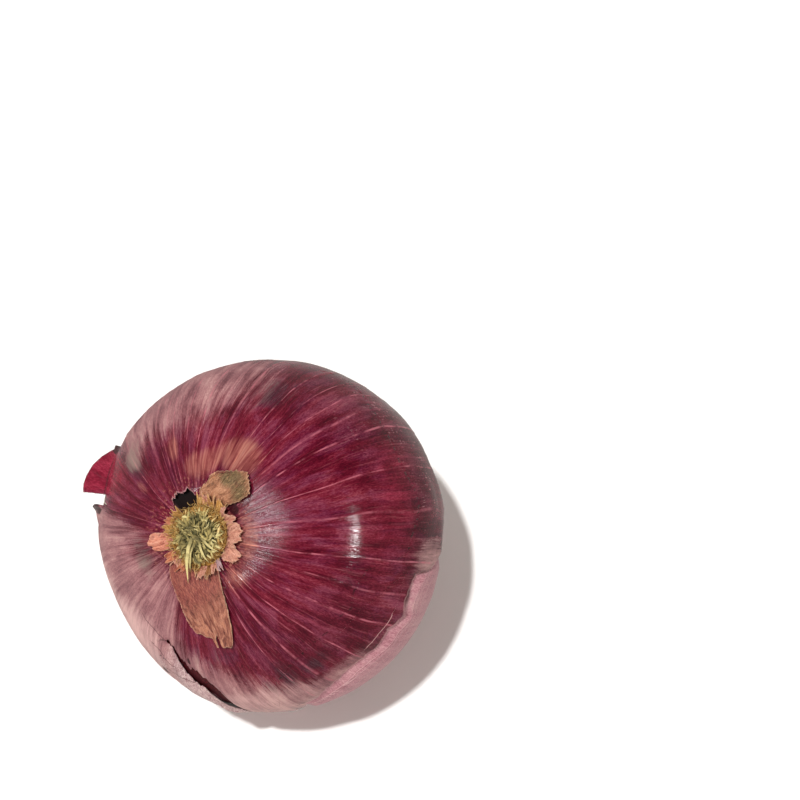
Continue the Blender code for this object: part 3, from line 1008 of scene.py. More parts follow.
def make_bulb():
    """The bulb with the layers beyond the torn skin, the hollow beside the tuft and the neck."""
    columns, neck_count = 600, 34
    downs = np.concatenate((np.linspace(2, 24, 20), np.linspace(24.6, LAST_ROW, 200)))
    turns = -180 + np.arange(columns) * 360 / columns
    turn, down = np.meshgrid(turns, downs)
    bare = bare_share(turn)
    layers = [layer_distance(turn, down, k) for k in range(len(LAYERS))]
    steps = sum(np.clip(layer / 0.3 + 0.5, 0, 1) for layer in layers)
    hollow = square_blob(turn, down, HOLLOW_TURN, HOLLOW_DOWN, 17, 3.4)
    edge = edge_at(turn, 1)
    beyond = smooth((down - edge - 0.3) / 7) * np.clip((108 - edge) / 20, 0, 1)
    leaf_rise = LEAF_RISE * beyond * smooth((150 - down) / 35) * bare
    points = on_bulb(turn, down, leaf_rise - LAYER_STEP * steps * bare - HOLLOW_DEPTH * hollow)
    neck = np.array(neck_rings(neck_count, turns))
    points = np.concatenate((points, neck))
    rows = len(points)
    faces, corner_rows, corner_columns = sheet_faces(rows, columns, True)
    all_downs = np.concatenate((downs, LAST_ROW + np.arange(1, rows - len(downs) + 1) * 0.8))
    made = new_object("bulb_leaf", points, faces)
    turn, down = np.meshgrid(turns, all_downs)
    phase = vein_phase(-180 + corner_columns * 360 / columns)
    add_map(made, "veins", np.stack((phase, all_downs[corner_rows] / 10), axis=-1))
    sine = np.sin(np.radians(np.minimum(down, 165)))
    add_values(made, "room", vein_room(turn) * DEGREE * sine)
    add_values(made, "spread", 0.3 + 0.7 * sine)
    add_values(made, "power", vein_power(turn))
    add_vectors(made, "ring", ring_vectors(turn, down))
    bare = bare_share(turn)
    nearest = np.full(down.shape, FAR)
    for k in range(len(LAYERS)):
        nearest = nearer(moved_off(layer_distance(turn, down, k), (1 - bare) * FAR), nearest)
    add_values(made, "layer", nearest)
    add_values(made, "bare", bare * smooth((120 - down) / 20))
    # Painted shade: dark inside the split and in the hollow beside the tuft, and a painted shadow in a
    # thin wedge under the lifted skin edge at the lower right.
    upper, lower = split_at(turn, 1), split_at(turn, 2)
    beside = np.maximum(upper - 4 - down, down - lower - 5)
    outside = np.maximum(np.maximum(-119 - turn, turn + 88) * 0.7, beside)
    split_shade = np.clip(1.0 - outside / 2.5, 0, 1)
    hollow_shade = 1.4 * square_blob(turn, down, HOLLOW_TURN, 15, 24, 6)
    shadow_under_lifted_edge = 1.5 * np.exp(-((turned_by(turn, -20.5) / 3.4) ** 4) - ((down - 78.9) / 1.3) ** 2)
    add_values(made, "shade", np.clip(split_shade + hollow_shade + shadow_under_lifted_edge, 0, 1))
    notch = square_blob(turn, down, FLAP_END, 59, 4.0, 9)
    add_values(made, "green", notch * 0.9)
    dry = np.clip((down - 158 + 5 * ring_noise(turn, 50, 41)) / 10, 0, 1)
    add_values(made, "dry", dry)
    made.data.materials.append(flesh_material())
    face_out(made)
    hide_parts("bulb")


def bare_share(turn):
    """1 on the lower right, where the bulb shows beyond the torn skin."""
    turn = turned_by(turn, 0)
    return np.clip((turn + 80) / 8, 0, 1) * np.clip((-4 - turn) / 6, 0, 1)


# Edges of thin torn leaves under the outer skin: degrees past its edge, and how much this grows
# or shrinks per degree of turn from where the band is widest.
LAYERS = ((7.0, 0.06), (9.6, 0.085), (13.5, 0.05))
WIDEST_BAND = -15


def layer_distance(turn, down, index):
    """Millimetres past the torn edge of a thin leaf that lies under the outer skin."""
    turn = turned_by(turn, 0)
    past, taper = LAYERS[index]
    edge = read_off(SKIN_EDGE, turn)
    line = np.minimum(edge, 80) + past + taper * (turn - WIDEST_BAND)
    line = line + 0.35 * ring_noise(turn, 40, 51 + index) + 0.05 * ring_noise(turn, 260, 55 + index)
    return (down - line) * DEGREE


# The outer skin

def edge_at(turn, index):
    """A column of the table of the skin's torn edge, at this turn."""
    return read_off(SKIN_EDGE, turned_by(turn, 0), index)


def torn_edge(turn):
    """The skin's lower edge, ragged where it was torn."""
    plain = edge_at(turn, 1)
    ragged = 0.55 * ring_noise(turn, 150, 61) + 0.3 * ring_noise(turn, 420, 62)
    crisp = np.where(np.abs(turned_by(turn, FLAP_TURN)) < 13, 0.35, 1.0)
    return plain + ragged * crisp


def split_at(turn, index):
    """The angle of the split's upper or lower lip at this turn."""
    return read_off(SPLIT, turned_by(turn, 0), index)


def vein_power(turn):
    """The strength of the vein that is nearest to each turn."""
    return VEIN_STRENGTH[np.round(vein_phase(turn)).astype(int) % len(VEINS)]


def skin_turns():
    """Turns round the bulb: at each vein and close to it, and between them, closer where torn."""
    turns = []
    for first, following in zip(VEINS, VEINS[1:] + [VEINS[0] + 360]):
        torn = -120 < first < -86 or 138 < first < 173
        room = following - first - 0.6
        count = max(2, round(room / (0.2 if torn else 0.5)))
        turns += [first, *(first + 0.3 + room * k / count for k in range(count + 1))]
    return np.array(turns)


def swayed(turn, down):
    """The turn of each point, moved a little to the side as the leaf's veins are."""
    sway = 0.75 * patch_noise(turn, down, 36, 15, 7) + 0.2 * patch_noise(turn, down, 110, 6, 8)
    return turn + sway * np.clip((down - 8) / 20, 0, 1)


def line_distance(turn, down, lines):
    """Millimetres from the nearest of these lines, with a sign for its side."""
    nearest = np.full(np.broadcast(turn, down).shape, FAR)
    for line in lines:
        turns, downs = [p[0] for p in line], [p[1] for p in line]
        off = (down - np.interp(turn, turns, downs)) * DEGREE + 0.12 * ring_noise(turn, 420, 67)
        past = np.maximum(np.maximum(turns[0] - turn, turn - turns[-1]), 0) * 0.6
        nearest = nearer(moved_off(off, past), nearest)
    return nearest


def smooth(value):
    """Rises softly from 0 to 1 as the value does."""
    value = np.clip(value, 0, 1)
    return value * value * (3 - 2 * value)


def make_outer_skin():
    """One sheet of rows and columns, open along the split, the tear and the notch."""
    above, below = 110, 50
    turns = skin_turns()
    columns = len(turns)

    # The angles where the sheet starts, where the split or its stand-in lies, and where it ends.
    edge = torn_edge(turns)
    first, last = SPLIT_FIRST, SPLIT_LAST
    in_split = (turns > first) & (turns < last)
    ragged = 0.9 * ring_noise(turns, 300, 63) + 0.8 * ring_noise(turns, 700, 73)
    lip = split_at(turns, 1) + ragged * in_split
    usual = SKIN_TOP[0][1] + (edge - SKIN_TOP[0][1]) * ABOVE_SHARE
    near = smooth(1 - np.maximum(first - turns, turns - last) / 25)
    usual = usual + (np.minimum(split_at(turns, 1), edge - 2) - usual) * near
    tear = np.where(in_split, lip, usual)
    low_start = np.where(in_split, split_at(turns, 2) + 1.1 * ring_noise(turns, 340, 64), tear)
    low_start = np.minimum(np.maximum(low_start, tear), edge - 0.5)
    start = read_off(SKIN_TOP, turns)
    start = start + 0.6 * ring_noise(turns, 70, 65) + 0.5 * ring_noise(turns, 240, 68)
    start = start + 0.3 * ring_noise(turns, 520, 72)

    # The angle and the turn of every point.
    up = np.linspace(0, 1, above)[:, None]
    low = np.linspace(0, 1, below)[:, None]
    down = np.concatenate((start + (tear - start) * up, low_start + (edge - low_start) * low))
    plain = np.broadcast_to(turns, down.shape)
    turn = swayed(plain, down)
    rows = len(down)
    lower_sheet = (np.arange(rows) >= above)[:, None] & in_split[None, :]

    # How far each point lies off the bulb: curled at the edge, raised along the split's strip,
    # and ridged at the veins.
    rise, reach = edge_at(turns, 2) * MM, edge_at(turns, 3)
    share = np.clip(1 - (edge - down) / reach, 0, 1)
    hug = np.clip(1 - (edge - down) / 7.0, 0, 1) ** 2
    loose = SKIN_WAVES * patch_noise(turn, down, 24, 9, 66) * (1 - hug)
    lift = SKIN_LIE * (1 - 0.75 * hug) + loose + rise * share**1.2
    near_lip = np.clip(1 - (tear - down) / 6, 0, 1) ** 2 * in_split * ~lower_sheet
    lift = lift - LIP_DROP * near_lip
    left_of_split = (turn <= first) & (down > 40)
    below_lip = smooth((down - 42) / 14)
    opening = smooth(0.1 + (down - low_start) / 9)
    below_lip = np.where(lower_sheet, opening, below_lip * left_of_split)
    fade = smooth((turn + 130) / 13) * smooth((-92 - turn) / 5)
    far = np.clip((down - np.where(in_split, low_start, 44)) / 34, 0, 1)
    crumple = 1 + 0.25 * patch_noise(turn, down, 120, 4, 69)
    lift = lift + STRIP_LIFT * below_lip * fade * (1 - far) ** 1.3 * crumple
    off_vein = np.abs(vein_phase(turns) - np.round(vein_phase(turns))) * vein_room(turns) * DEGREE
    ridge = np.exp(-((off_vein / VEIN_HALF) ** 2)) * vein_power(turns)
    lift = lift + VEIN_HEIGHT * ridge * np.sin(np.radians(down)) ** 0.5
    lift = lift + WRINKLE_HEIGHT * blobs(turn, down, WRINKLES)
    points = on_bulb(turn, down, lift, LOWEST)

    # Faces left out where the skin is split, torn or notched.
    keep = np.ones((rows - 1, columns), dtype=bool)
    keep[above - 1, :] = ~(in_split & np.roll(in_split, -1))
    gap = (low_start - tear) < 0.05
    keep[above - 1, gap & np.roll(gap, -1)] = True
    for place, start_down in TEARS:
        torn = (turns > place - 0.3) & (turns < place + 0.3)
        keep &= ~(torn[None, :] & (down[:-1] > start_down))
    slant = 163.4 + (down[:-1] - 55) * 0.32
    in_notch = (turns[None, :] > slant) & (turns[None, :] < FLAP_END)
    keep &= ~(in_notch & (down[:-1] > 52) & (down[:-1] < 66))
    faces, corner_rows, corner_columns = sheet_faces(rows, columns, True, keep)
    made = new_object("outer_skin_dry", points, faces)

    # What the material reads: the veins, the patches, and millimetres to edges and cracks.
    laps = corner_columns // columns
    phase = vein_phase(turns)[corner_columns % columns] + laps * len(VEINS)
    add_map(made, "veins", np.stack((phase, down[corner_rows, corner_columns % columns] / 10), axis=-1))
    sine = np.sin(np.radians(down))
    add_values(made, "room", vein_room(plain) * DEGREE * sine)
    add_values(made, "spread", 0.25 + 0.75 * sine**1.5)
    calm = blobs(turn, down, CALM)
    add_values(made, "calm", calm)
    add_values(made, "power", vein_power(plain) * (1 - calm))
    add_vectors(made, "ring", ring_vectors(plain, down))
    for name, table in SKIN_MASKS.items():
        add_values(made, name, blobs(turn, down, table))
    add_values(made, "near_root", smooth((26 - down) / 9))
    tear_turn, tear_top, tear_end = MERIDIAN_TEAR
    beside = turned_by(turn, tear_turn) + 0.5 * patch_noise(turn, down, 60, 4, 70)
    pale = blobs(turn, down, PALE) * (1 - blobs(turn, down, FLUSH[:4]) ** 2)
    hidden = np.clip(1 + beside / 0.5, 0, 1) + np.clip((-beside - 14) / 12, 0, 1)
    in_tear = smooth((down - tear_top) / 5) * smooth((80 - down) / 10)
    pale = pale * (1 - 0.75 * in_tear * (1 - np.clip(hidden, 0, 1)))
    on_flap = (turn > 145) & (turn < 166.2) & (down > edge - reach)
    add_values(made, "pale", np.where(on_flap, 0.0, pale))
    past = np.maximum(np.maximum(tear_top - down, down - tear_end), 0)
    tear_off = moved_off(beside * DEGREE * sine, past)
    add_values(made, "crack", nearer(tear_off, line_distance(turn, down, CRACKS)))
    add_values(made, "crease", line_distance(turn, down, CREASES))
    side = np.clip(turned_by(turn, first) / 8, 0, 1) * np.clip(-turned_by(turn, last) / 3, 0, 1)
    around = smooth((turn + 132) / 16) * smooth((-96 - turn) / 6) * smooth((down - 48) / 10)
    add_values(made, "strip", np.maximum(lower_sheet * side, around * 0.7 * (turn <= first)))
    at_cavity = 1 - np.clip(1.6 * np.exp(-((turned_by(turn, 116) / 20) ** 4)), 0, 1)
    top_edge = (down - start) * DEGREE + 2 * at_cavity
    add_values(made, "edge", np.minimum((edge[None, :] - down) * DEGREE, top_edge))
    # Millimetres from the crease where the flap turns out, for its painted shade line.
    fold = (down - (edge - reach)) * DEGREE
    ends = np.maximum(np.maximum(FLAP_START - turn, turn - 166), 0)
    add_values(made, "fold", moved_off(fold, ends))
    made.data.materials.append(skin_material())
    face_out(made)
    solidify(made, SKIN_THICKNESS)
    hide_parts("outer_skin")


# The papery collar

# Papers of the collar: dark, middle and light colour, colour of the spots, and roughness.
PAPERS = {
    "tan": ((90, 38, 32), (148, 86, 68), (200, 144, 118), (178, 108, 76), 0.6),
    "brown": ((96, 58, 38), (160, 106, 76), (216, 164, 130), (186, 130, 74), 0.6),
    "pink": ((150, 86, 72), (204, 144, 122), (232, 188, 166), (176, 102, 84), 0.7),
    "orange": ((124, 58, 44), (182, 104, 74), (214, 156, 118), (120, 50, 44), 0.7),
    "ring": ((92, 52, 32), (148, 100, 62), (190, 142, 96), (74, 46, 30), 0.7),
    "silver": ((124, 84, 92), (176, 138, 144), (214, 190, 192), (96, 50, 62), 0.4),
    "gold": ((134, 84, 38), (190, 138, 72), (220, 178, 112), (150, 92, 46), 0.7),
    "salmon": ((146, 72, 56), (202, 128, 104), (226, 172, 148), (166, 92, 74), 0.7),
}
PAPER = {name: paper_material(f"{name}_paper", *values) for name, values in PAPERS.items()}


def leaf(name, left, right, ends, lift, paper, seed, size, ragged, red=0.0, stains=()):
    """A flake between two side lines, each a table of angle and turn, and a torn end line, a
    table of share of the width and angle. The size is in points across and along."""
    across, along = size
    u = np.linspace(0, 1, across)[None, :]
    v = np.linspace(0, 1, along)[:, None]
    start = left[0][0]
    noise = np.random.default_rng(seed)
    jag = np.convolve(noise.uniform(-1, 1, across + 8), np.ones(4) / 4, "same")[4:-4]
    coarse = np.interp(np.linspace(0, 1, across), np.linspace(0, 1, 9), noise.uniform(-1, 1, 9))
    end = read_off(ends, u[0]) + ragged * (0.45 * jag + 0.7 * coarse)
    down = start + (end - start) * v
    left_turn = read_off(left, down)
    right_turn = read_off(right, down)
    side = np.convolve(noise.uniform(-1, 1, along + 8), np.ones(5) / 5, "same")[4:-4]
    width = turned_by(right_turn, left_turn)
    turn = left_turn + width * (u + 0.03 * side[:, None] * (2 * u - 1) * ragged)
    crinkle = 0.13 * MM * patch_noise(turn * 3, down, 90, 2.6, seed)
    folds = 0.10 * MM * patch_noise(turn * 2, down, 200, 12.0, seed + 1)
    points = on_bulb(turn, down, lift(u, v) + (crinkle + folds) * (0.4 + 0.6 * v), LOWEST)
    faces, _, _ = sheet_faces(along, across, False)
    made = new_object(name, points, faces)
    wide = np.abs(width).mean() * math.sin(math.radians(max(start, down.mean()))) * DEGREE
    x = (u - 0.5) * wide + 0.4 * np.sin(5 * v + seed)
    y = v * (down.max() - start) * DEGREE
    x, y = np.broadcast_arrays(x, y)
    add_vectors(made, "leaf", np.stack((x, y, np.full(x.shape, seed * 3.1)), axis=-1))
    rim = np.minimum(np.minimum(u, 1 - u) * 12, (1 - v) * 16)
    add_values(made, "rim", np.broadcast_to(rim, down.shape))
    add_values(made, "stain", blobs(turn, down, stains))
    near_tuft = np.clip((31 - down) / 13, 0, 1)
    add_values(made, "red", red * near_tuft * (1.2 - 0.7 * u) + 0.25 * (red == 0))
    made.data.materials.append(PAPER[paper])
    face_out(made)
    solidify(made, FLAKE_THICKNESS)
    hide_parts("root_collar")


def make_tan_flap():
    left = ((12.0, -152), (17, -136), (21, -118), (25, -107.5), (30, -100), (34, -95), (40, -91))
    right = ((12.0, -55), (15.4, -58.7), (20, -63.2), (25, -65.4), (30.6, -68.8), (36, -72), (40, -74))
    ends = (
        (0.0, 31.0),
        (0.05, 33.4),
        (0.30, 34.4),
        (0.40, 34.8),
        (0.43, 38.4),
        (0.47, 38.8),
        (0.49, 35.2),
        (0.54, 34.2),
        (0.57, 37.6),
        (0.66, 39.0),
        (0.90, 38.6),
        (0.97, 37.2),
        (1.0, 34.0),
    )

    def lift(u, v):
        edge = np.abs(2 * u - 1) ** 6
        trough = 0.35 * np.exp(-(((u - 0.52) / 0.07) ** 2)) * v
        wave = 0.18 * np.sin(5 * u + 4 * v)
        return (1.15 + 0.45 * v**2 + 0.35 * edge * v - trough + wave) * MM

    leaf("tan_flap", left, right, ends, lift, "tan", 71, (130, 120), 0.7, red=1.25)


def make_brown_flake():
    left = ((12, 92), (15.9, 90), (18.4, 81), (22.6, 75.5), (25.2, 68.6), (30, 60))
    right = ((12, 44), (15.5, 43), (18.6, 38), (22.1, 35.0), (24.5, 37), (30, 43))
    ends = (
        (0.0, 21.6),
        (0.12, 24.2),
        (0.24, 24.6),
        (0.34, 26.6),
        (0.5, 26.0),
        (0.62, 26.4),
        (0.7, 25.0),
        (0.86, 25.4),
        (1.0, 22.6),
    )

    def lift(u, v):
        fold = 0.45 * np.abs(np.sin(8.5 * u + 0.6)) * v
        return (1.15 + 1.1 * v**1.5 * (0.6 + 0.4 * u) + fold) * MM

    stains = ((60, 22.4, 11, 3.4, 0.85), (43, 20.6, 9, 3.6, 0.85), (52, 24.5, 10, 2.2, 0.6))
    leaf("brown_flake", left, right, ends, lift, "brown", 73, (140, 70), 2.0, stains=stains)


# Small bits round the tuft: middle turn, width, angle of the end, how far it stands up, paper.
COLLAR_BITS = (
    (-148, 16, 15.4, 1.0, "orange"),
    (-133, 14, 14.8, 1.0, "pink"),
    (-120, 12, 15.0, 1.0, "orange"),
    (-96, 12, 13.6, 1.2, "ring"),
    (-80, 12, 14.0, 1.6, "pink"),
    (-69, 10, 15.0, 2.0, "ring"),
    (-58, 9, 14.6, 2.2, "pink"),
    (-49, 6, 15.4, 2.6, "silver"),
    (48, 15, 15.4, 1.6, "gold"),
    (64, 13, 14.6, 1.8, "gold"),
    (78, 13, 15.4, 1.6, "pink"),
    (89, 11, 14.4, 1.4, "gold"),
    (142, 14, 14.0, 1.0, "gold"),
    (154, 14, 14.6, 1.0, "orange"),
    (166, 12, 14.4, 0.9, "gold"),
)

# Wider bits: name, first and last turn, angles along the end, how far they stand up, paper, and
# how ragged they are.
WIDE_BITS = (
    ("right", 46, 8, (12.4, 14.4, 13.4, 14.6, 15.4, 13.8, 15.8, 16.2), 1.5, "pink", 2.0),
    ("middle_right", 12, -18, (15.6, 16.4, 15.8, 16.8, 15.6, 14.4, 13.2), 1.2, "pink", 2.0),
    ("low_right", -15, -40, (12.8, 16.2, 17.6, 16.8, 17.6, 16.2, 15.4, 12.6), 1.0, "pink", 2.0),
    ("left", 176, 200, (17.4, 19.4, 20.4, 20.2, 20.0, 19.2, 18.0, 16.0), 0.7, "salmon", 0.9),
)


def make_small_flakes():
    """Ragged bits of pink and orange paper all round the tuft, in two rows."""
    draw = random.Random(5)
    for index, (turn, wide, end, high, paper) in enumerate(COLLAR_BITS):
        skew = draw.uniform(-4, 4)
        left = ((10.0, turn - wide / 2 - 3), (end, turn - wide / 2 + skew + 1), (40, turn))
        right = ((10.0, turn + wide / 2 + 3), (end, turn + wide / 2 + skew - 1), (40, turn))
        dips = [draw.uniform(-1.6, 0.5) for _ in range(6)]
        ends = [(i / 5, end + dip) for i, dip in enumerate(dips)]
        phase, tilt = draw.uniform(0, 6), draw.uniform(-0.5, 0.5)

        def lift(u, v):
            wave = 0.35 * v * np.sin(6 * u + phase) + tilt * (u - 0.5) * v
            return (0.95 + high * v**1.2 + wave) * MM

        name = f"collar_bit_{index + 1}"
        leaf(name, left, right, ends, lift, paper, 80 + index, (40, 30), 0.75)
    for index, (name, first, last, edge, high, paper, ragged) in enumerate(WIDE_BITS):
        ends = [(i / (len(edge) - 1), angle) for i, angle in enumerate(edge)]
        side = (last - first) * 0.02
        left = ((10.0, first - side), (22.0, first + side))
        right = ((10.0, last + side), (22.0, last - side))

        def lift(u, v):
            wave = 0.3 * v * np.sin(9 * u + index) + 0.2 * np.sin(17 * u + 2 * index) * v
            return (0.85 + high * v**1.3 + wave) * MM

        leaf(f"collar_{name}", left, right, ends, lift, paper, 130 + index, (110, 40), ragged)


# The root plate and its roots

def over_plate(x, y, height):
    """Points from their place across the root plate and their height over its seat."""
    seat = PROFILE[0][1] * EQUATOR + PLATE_SEAT
    points = np.stack((x, y, seat + height), axis=-1)
    return points @ AXES_ARRAY.T + np.array(CENTRE)


def plate_height(distance):
    share = np.minimum(distance / PLATE_RADIUS, 1.0)
    return PLATE_CROWN + (PLATE_EDGE - PLATE_CROWN) * share * share


def make_plate():
    """The corky disc that the roots grow from, with its rim turned in."""
    columns = 160
    radii = np.concatenate((np.linspace(0.02, 1, 46), (1.0, 0.97, 0.9)))
    drops = np.concatenate((np.zeros(46), (0.5, 1.0, 1.4))) * MM
    turn = np.radians(np.arange(columns) * 360 / columns)[None, :]
    distance = (radii * PLATE_RADIUS)[:, None] * (1 + 0.03 * ring_noise(np.degrees(turn), 22, 91))
    x, y = distance * np.cos(turn), distance * np.sin(turn)
    rough = 0.22 * MM * patch_noise(np.degrees(turn), radii[:, None] * 40, 40, 4, 92)
    height = plate_height(distance) - drops[:, None] + rough - 0.1 * MM
    faces, _, _ = sheet_faces(len(radii), columns, True)
    made = new_object("root_plate", over_plate(x, y, height), faces)
    add_vectors(made, "leaf", np.stack((x / MM, y / MM, height / MM), axis=-1))
    add_values(made, "rim", np.broadcast_to(smooth((radii - 0.6) / 0.3)[:, None], x.shape))
    made.data.materials.append(plate_material())
    face_out(made)
    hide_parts("root_tuft")


def tube(path, radii, sides, flat, twist):
    """Points and faces of a closed tapered tube along a path given as an array."""
    count = len(path)
    along = np.gradient(path, axis=0)
    along /= np.linalg.norm(along, axis=1)[:, None]
    side = np.cross(along[0], np.array(ROOT_AXIS) + np.array((0.013, 0.021, 0.0)))
    side /= np.linalg.norm(side)
    points = []
    for k in range(count):
        side = side - along[k] * (side @ along[k])
        side /= np.linalg.norm(side)
        other = np.cross(along[k], side)
        angle = np.arange(sides) * 2 * math.pi / sides
        spin = twist * k / count
        width = side * math.cos(spin) + other * math.sin(spin)
        depth = np.cross(along[k], width)
        ring = (
            path[k]
            + (np.cos(angle)[:, None] * width + np.sin(angle)[:, None] * depth * flat) * radii[k]
        )
        points.append(ring)
    points = np.concatenate(points + [path[:1], path[-1:]])
    faces = []
    for k in range(count - 1):
        for i in range(sides):
            j = (i + 1) % sides
            faces.append((k * sides + i, k * sides + j, (k + 1) * sides + j, (k + 1) * sides + i))
    first, last, top = count * sides, count * sides + 1, (count - 1) * sides
    for i in range(sides):
        j = (i + 1) % sides
        faces.append((first, j, i, i))
        faces.append((last, top + i, top + j, top + j))
    faces = [tuple(dict.fromkeys(face)) for face in faces]
    return points, faces


# Roots start this far inside the plate and stay at least this high beyond its rim.
ROOT_DEPTH = 0.4 * MM
RIM_HEIGHT = 2.3 * MM


def root_path(draw, distance, place, length, slope, lean, steps):
    """A root that leaves the plate, bends over and curls a little."""
    x, y = distance * math.cos(place), distance * math.sin(place)
    heading = lean
    curl = draw.gauss(0, 1.2)
    fall = draw.uniform(1.0, 1.9)
    height = float(plate_height(distance)) - ROOT_DEPTH
    path = []
    step = length / (steps - 1)
    for k in range(steps):
        path.append((x, y, height))
        share = k / (steps - 1)
        climb = slope - fall * share
        heading += curl / steps + draw.gauss(0, 0.07)
        x += step * math.cos(climb) * math.cos(heading)
        y += step * math.cos(climb) * math.sin(heading)
        height += step * math.sin(climb)
        low = float(plate_height(math.hypot(x, y))) - 0.1 * MM
        if math.hypot(x, y) > PLATE_RADIUS * 1.03:
            low = RIM_HEIGHT
        height = max(height, low)
    x, y, height = np.array(path).T
    return over_plate(x, y, height)


ROOT_MATERIAL = root_material()


def join_roots(name, roots):
    """One object from roots, each given as path, radii, sides, flatness, twist, tone and gold."""
    points, faces, tone, along, gold, places = [], [], [], [], [], []
    total = 0
    for index, (path, radii, sides, flat, twist, own, shine) in enumerate(roots):
        new_points, new_faces = tube(path, radii, sides, flat, twist)
        faces += [tuple(i + total for i in face) for face in new_faces]
        points.append(new_points)
        total += len(new_points)
        steps = len(path)
        shares = np.repeat(np.linspace(0, 1, steps), sides).tolist() + [0.0, 1.0]
        tone += [own] * len(new_points)
        gold += [shine] * len(new_points)
        along += shares
        places += [(share * 4, own * 40, index * 0.7) for share in shares]
    made = new_object(name, np.concatenate(points), faces)
    add_values(made, "tone", tone)
    add_values(made, "along", along)
    add_values(made, "gold", gold)
    add_vectors(made, "leaf", places)
    made.data.materials.append(ROOT_MATERIAL)
    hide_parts("root_tuft")


TUFT_MIDDLE = (-0.9 * MM, 0.2 * MM)
CLUMPS = 84
HAIRS = 620
GOLDEN_TURN = 2.39996

# Bends of the long roots over the plate in millimetres, across, up and out, and their half width.
LONG_ROOTS = (
    (((-1.0, -0.4, 2.8), (-1.3, -2.4, 3.8), (-1.6, -5.9, 3.4), (-1.9, -9.7, 2.5)), 0.48),
    (((-0.6, -1.6, 2.8), (-0.9, -3.4, 3.6), (-1.1, -5.4, 3.0), (-1.5, -7.2, 2.4)), 0.3),
    (((0.6, -0.8, 2.9), (1.5, -2.6, 3.7), (2.4, -4.2, 3.4), (3.0, -5.4, 2.7)), 0.3),
    (((1.2, -0.4, 2.9), (2.8, -1.6, 3.6), (4.2, -2.6, 3.2), (5.2, -3.2, 2.6)), 0.26),
)


# Half widths that the roots of the mat are drawn from.
ROOT_WIDTHS = (0.10, 0.15, 0.20, 0.28)


def make_strands():
    """The mat of roots, in small combed tufts that lie outwards over the plate."""
    draw = random.Random(101)
    roots = []
    steps = 11
    for index in range(CLUMPS):
        share = (index + draw.random()) / CLUMPS
        distance = PLATE_RADIUS * 0.76 * math.sqrt(share)
        place = index * GOLDEN_TURN + draw.uniform(-0.3, 0.3)
        x = distance * math.cos(place) - TUFT_MIDDLE[0]
        y = distance * math.sin(place) - TUFT_MIDDLE[1]
        lean = math.atan2(y, x) + draw.gauss(0, 1.6 if share < 0.25 else 0.6)
        slope = draw.uniform(0.2, 0.85)
        length = draw.uniform(1.7, 3.3) * MM * (1 - 0.35 * share)
        to_right = 0.5 + 0.5 * math.cos(place)
        own = min(1.0, 0.05 + 0.45 * share + 0.35 * to_right + draw.gauss(0, 0.18))
        for _ in range(draw.choice((2, 3, 4, 5))):
            side = place + draw.gauss(0, 0.14)
            out = max(0.0, distance + draw.gauss(0, 0.35) * MM)
            long = length * draw.uniform(0.7, 1.15)
            climb = slope + draw.gauss(0, 0.1)
            path = root_path(draw, out, side, long, climb, lean + draw.gauss(0, 0.12), steps)
            thick = draw.choice(ROOT_WIDTHS) * MM
            taper = np.linspace(1.0, 0.0, steps)
            radii = thick * (0.3 + 0.7 * np.clip(taper * 2.6, 0, 1))
            golden = 0.7 if draw.random() < (share - 0.6) * 0.8 else 0.04
            tone = min(1.0, max(0.0, own + draw.gauss(0, 0.28)))
            roots.append((path, radii, 6, draw.uniform(0.45, 0.85), draw.gauss(0, 1.0), tone, golden))
    share = np.linspace(0, 1, 20)
    for bends, thick in LONG_ROOTS:
        stops = np.linspace(0, 1, len(bends))
        x, y, height = (np.interp(share, stops, [bend[i] * MM for bend in bends]) for i in range(3))
        x = x + 0.12 * MM * np.sin(7 * share)
        radii = thick * MM * (0.05 + 0.95 * np.clip(np.sin((1 - share) * 2.4) * 1.15, 0, 1))
        roots.append((over_plate(x, y, height), radii, 8, 0.45, 0.3, 0.85, 0.03))
    join_roots("root_strands", roots)


def make_fringe():
    """Fine golden hairs round the rim of the plate, thickest on the side away from the flap."""
    draw = random.Random(102)
    roots = []
    while len(roots) < HAIRS:
        place = draw.uniform(-math.pi, math.pi)
        crowded = 0.5 + 0.5 * math.cos(place - 2.35)
        if draw.random() > 0.25 + 0.75 * crowded:
            continue
        distance = PLATE_RADIUS * draw.uniform(0.66, 1.04)
        lean = place + draw.gauss(0, 0.55)
        near_cavity = math.exp(-((place - 2.05) / 0.4) ** 2)
        length = draw.uniform(0.9, 2.3) * MM * (1 - 0.55 * near_cavity)
        path = root_path(draw, distance, place, length, draw.uniform(0.3, 1.3), lean, 7)
        thick = draw.uniform(0.045, 0.095) * MM
        radii = thick * (0.3 + 0.7 * np.linspace(1.0, 0.0, 7))
        roots.append((path, radii, 4, 0.8, 0.0, draw.random(), draw.uniform(0.6, 1.0)))
    join_roots("root_fringe", roots)


# The room: floor, light and camera

CAMERA_PLACE = Vector((29.75, -123.52, 314.85)) * MM
CAMERA_DROP = math.radians(60)
CAMERA_LENS = 60
CAMERA_SENSOR = 36
FLOOR_HALF = 3.0

# The lights: turn and height in degrees, distance and size in metres, and power in watts.
LIGHTS = {
    "key": (-138.7, 76.5, 1.3, (0.05, 0.05), 15.5),
    "window": (-23, 37.3, 1.0, (0.03, 0.045), 5),
    "spark": (-134, 63.7, 1.0, (0.014, 0.014), 7),
}
LIT_POINT = Vector((0, 0, 0.035))

# The light all round: its colour, how it leans to one side, how much of it the gloss shows less,
# and two heights with its strength at each.
ROOM_COLOUR = (1.0, 0.962, 0.903, 1)
ROOM_LEAN = 0.25
ROOM_GLOSS_LESS = -0.5
ROOM_FADE = (0.3, 0.9, 0.88, 0.22)


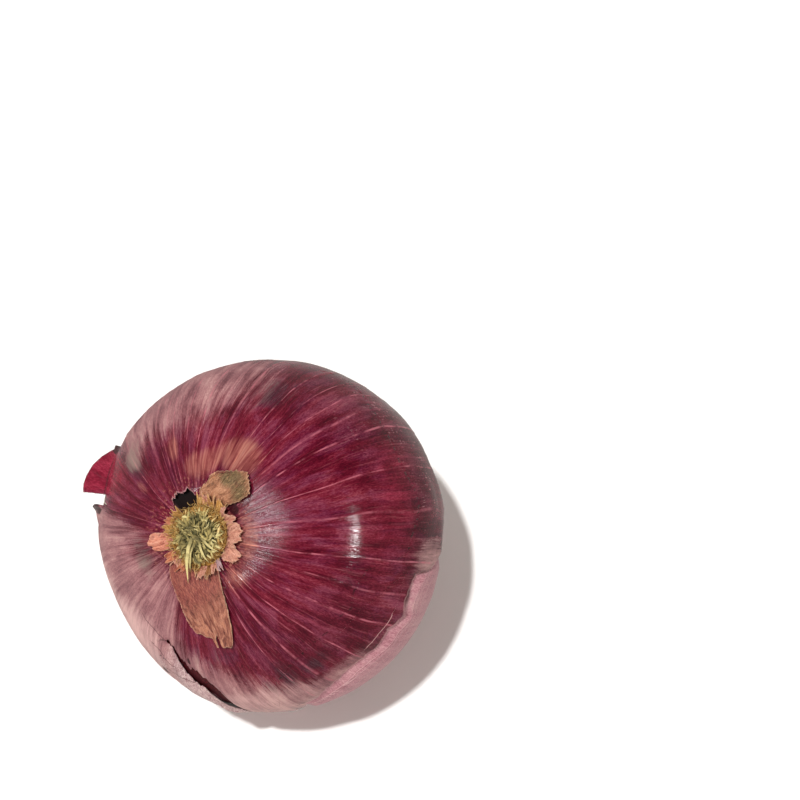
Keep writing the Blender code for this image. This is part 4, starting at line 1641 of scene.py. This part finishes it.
def make_stage():
    mesh = bpy.data.meshes.new("floor")
    signs = ((-1, -1), (1, -1), (1, 1), (-1, 1))
    corners = [(x * FLOOR_HALF, y * FLOOR_HALF, 0) for x, y in signs]
    mesh.from_pydata(corners, [], [(0, 1, 2, 3)])
    floor = in_scene("floor", mesh)
    floor.data.materials.append(Shader("pale_floor").finish((246, 246, 244), 0.9, 0.1))
    floor.visible_glossy = False


def make_lights():
    """The key light gives the shade and no glints, and the others give only glints."""
    for name, (turn, height, distance, size, power) in LIGHTS.items():
        data = bpy.data.lights.new(name, "AREA")
        data.shape = "RECTANGLE"
        data.size, data.size_y = size
        data.energy = power
        lamp = in_scene(name, data)
        t, h = math.radians(turn), math.radians(height)
        away = Vector((math.cos(h) * math.cos(t), math.cos(h) * math.sin(t), math.sin(h)))
        place = LIT_POINT + away * distance
        lamp.location = place
        lamp.rotation_euler = (LIT_POINT - place).to_track_quat("-Z", "Y").to_euler()
        lamp.visible_glossy = name != "key"
        lamp.visible_diffuse = name == "key"


def make_room_light():
    """Soft light all round, weaker from above and from the right, and weaker in the gloss."""
    s = Shader("room", "worlds")
    bpy.context.scene.world = s.owner
    place = s.node("ShaderNodeSeparateXYZ")
    s.link(s.node("ShaderNodeTexCoord").outputs["Generated"], place.inputs[0])
    height = s.times_add(place.outputs["X"], ROOM_LEAN, place.outputs["Z"])
    glossy = s.node("ShaderNodeLightPath").outputs["Is Glossy Ray"]
    strength = s.times(s.range(height, *ROOM_FADE), s.times_add(glossy, ROOM_GLOSS_LESS, 1.0))
    background = s.tree.nodes["Background"]
    background.inputs["Color"].default_value = ROOM_COLOUR
    s.link(strength, background.inputs["Strength"])


def make_camera():
    data = bpy.data.cameras.new("camera")
    data.lens = CAMERA_LENS
    data.sensor_width = CAMERA_SENSOR
    data.clip_start = 0.01
    camera = in_scene("camera", data)
    camera.location = CAMERA_PLACE
    camera.rotation_euler = (math.pi / 2 - CAMERA_DROP, 0, 0)
    bpy.context.scene.camera = camera


make_bulb()
make_outer_skin()
make_tan_flap()
make_brown_flake()
make_small_flakes()
make_plate()
make_strands()
make_fringe()
make_stage()
make_lights()
make_room_light()
make_camera()
bpy.context.scene.view_settings.view_transform = "Standard"
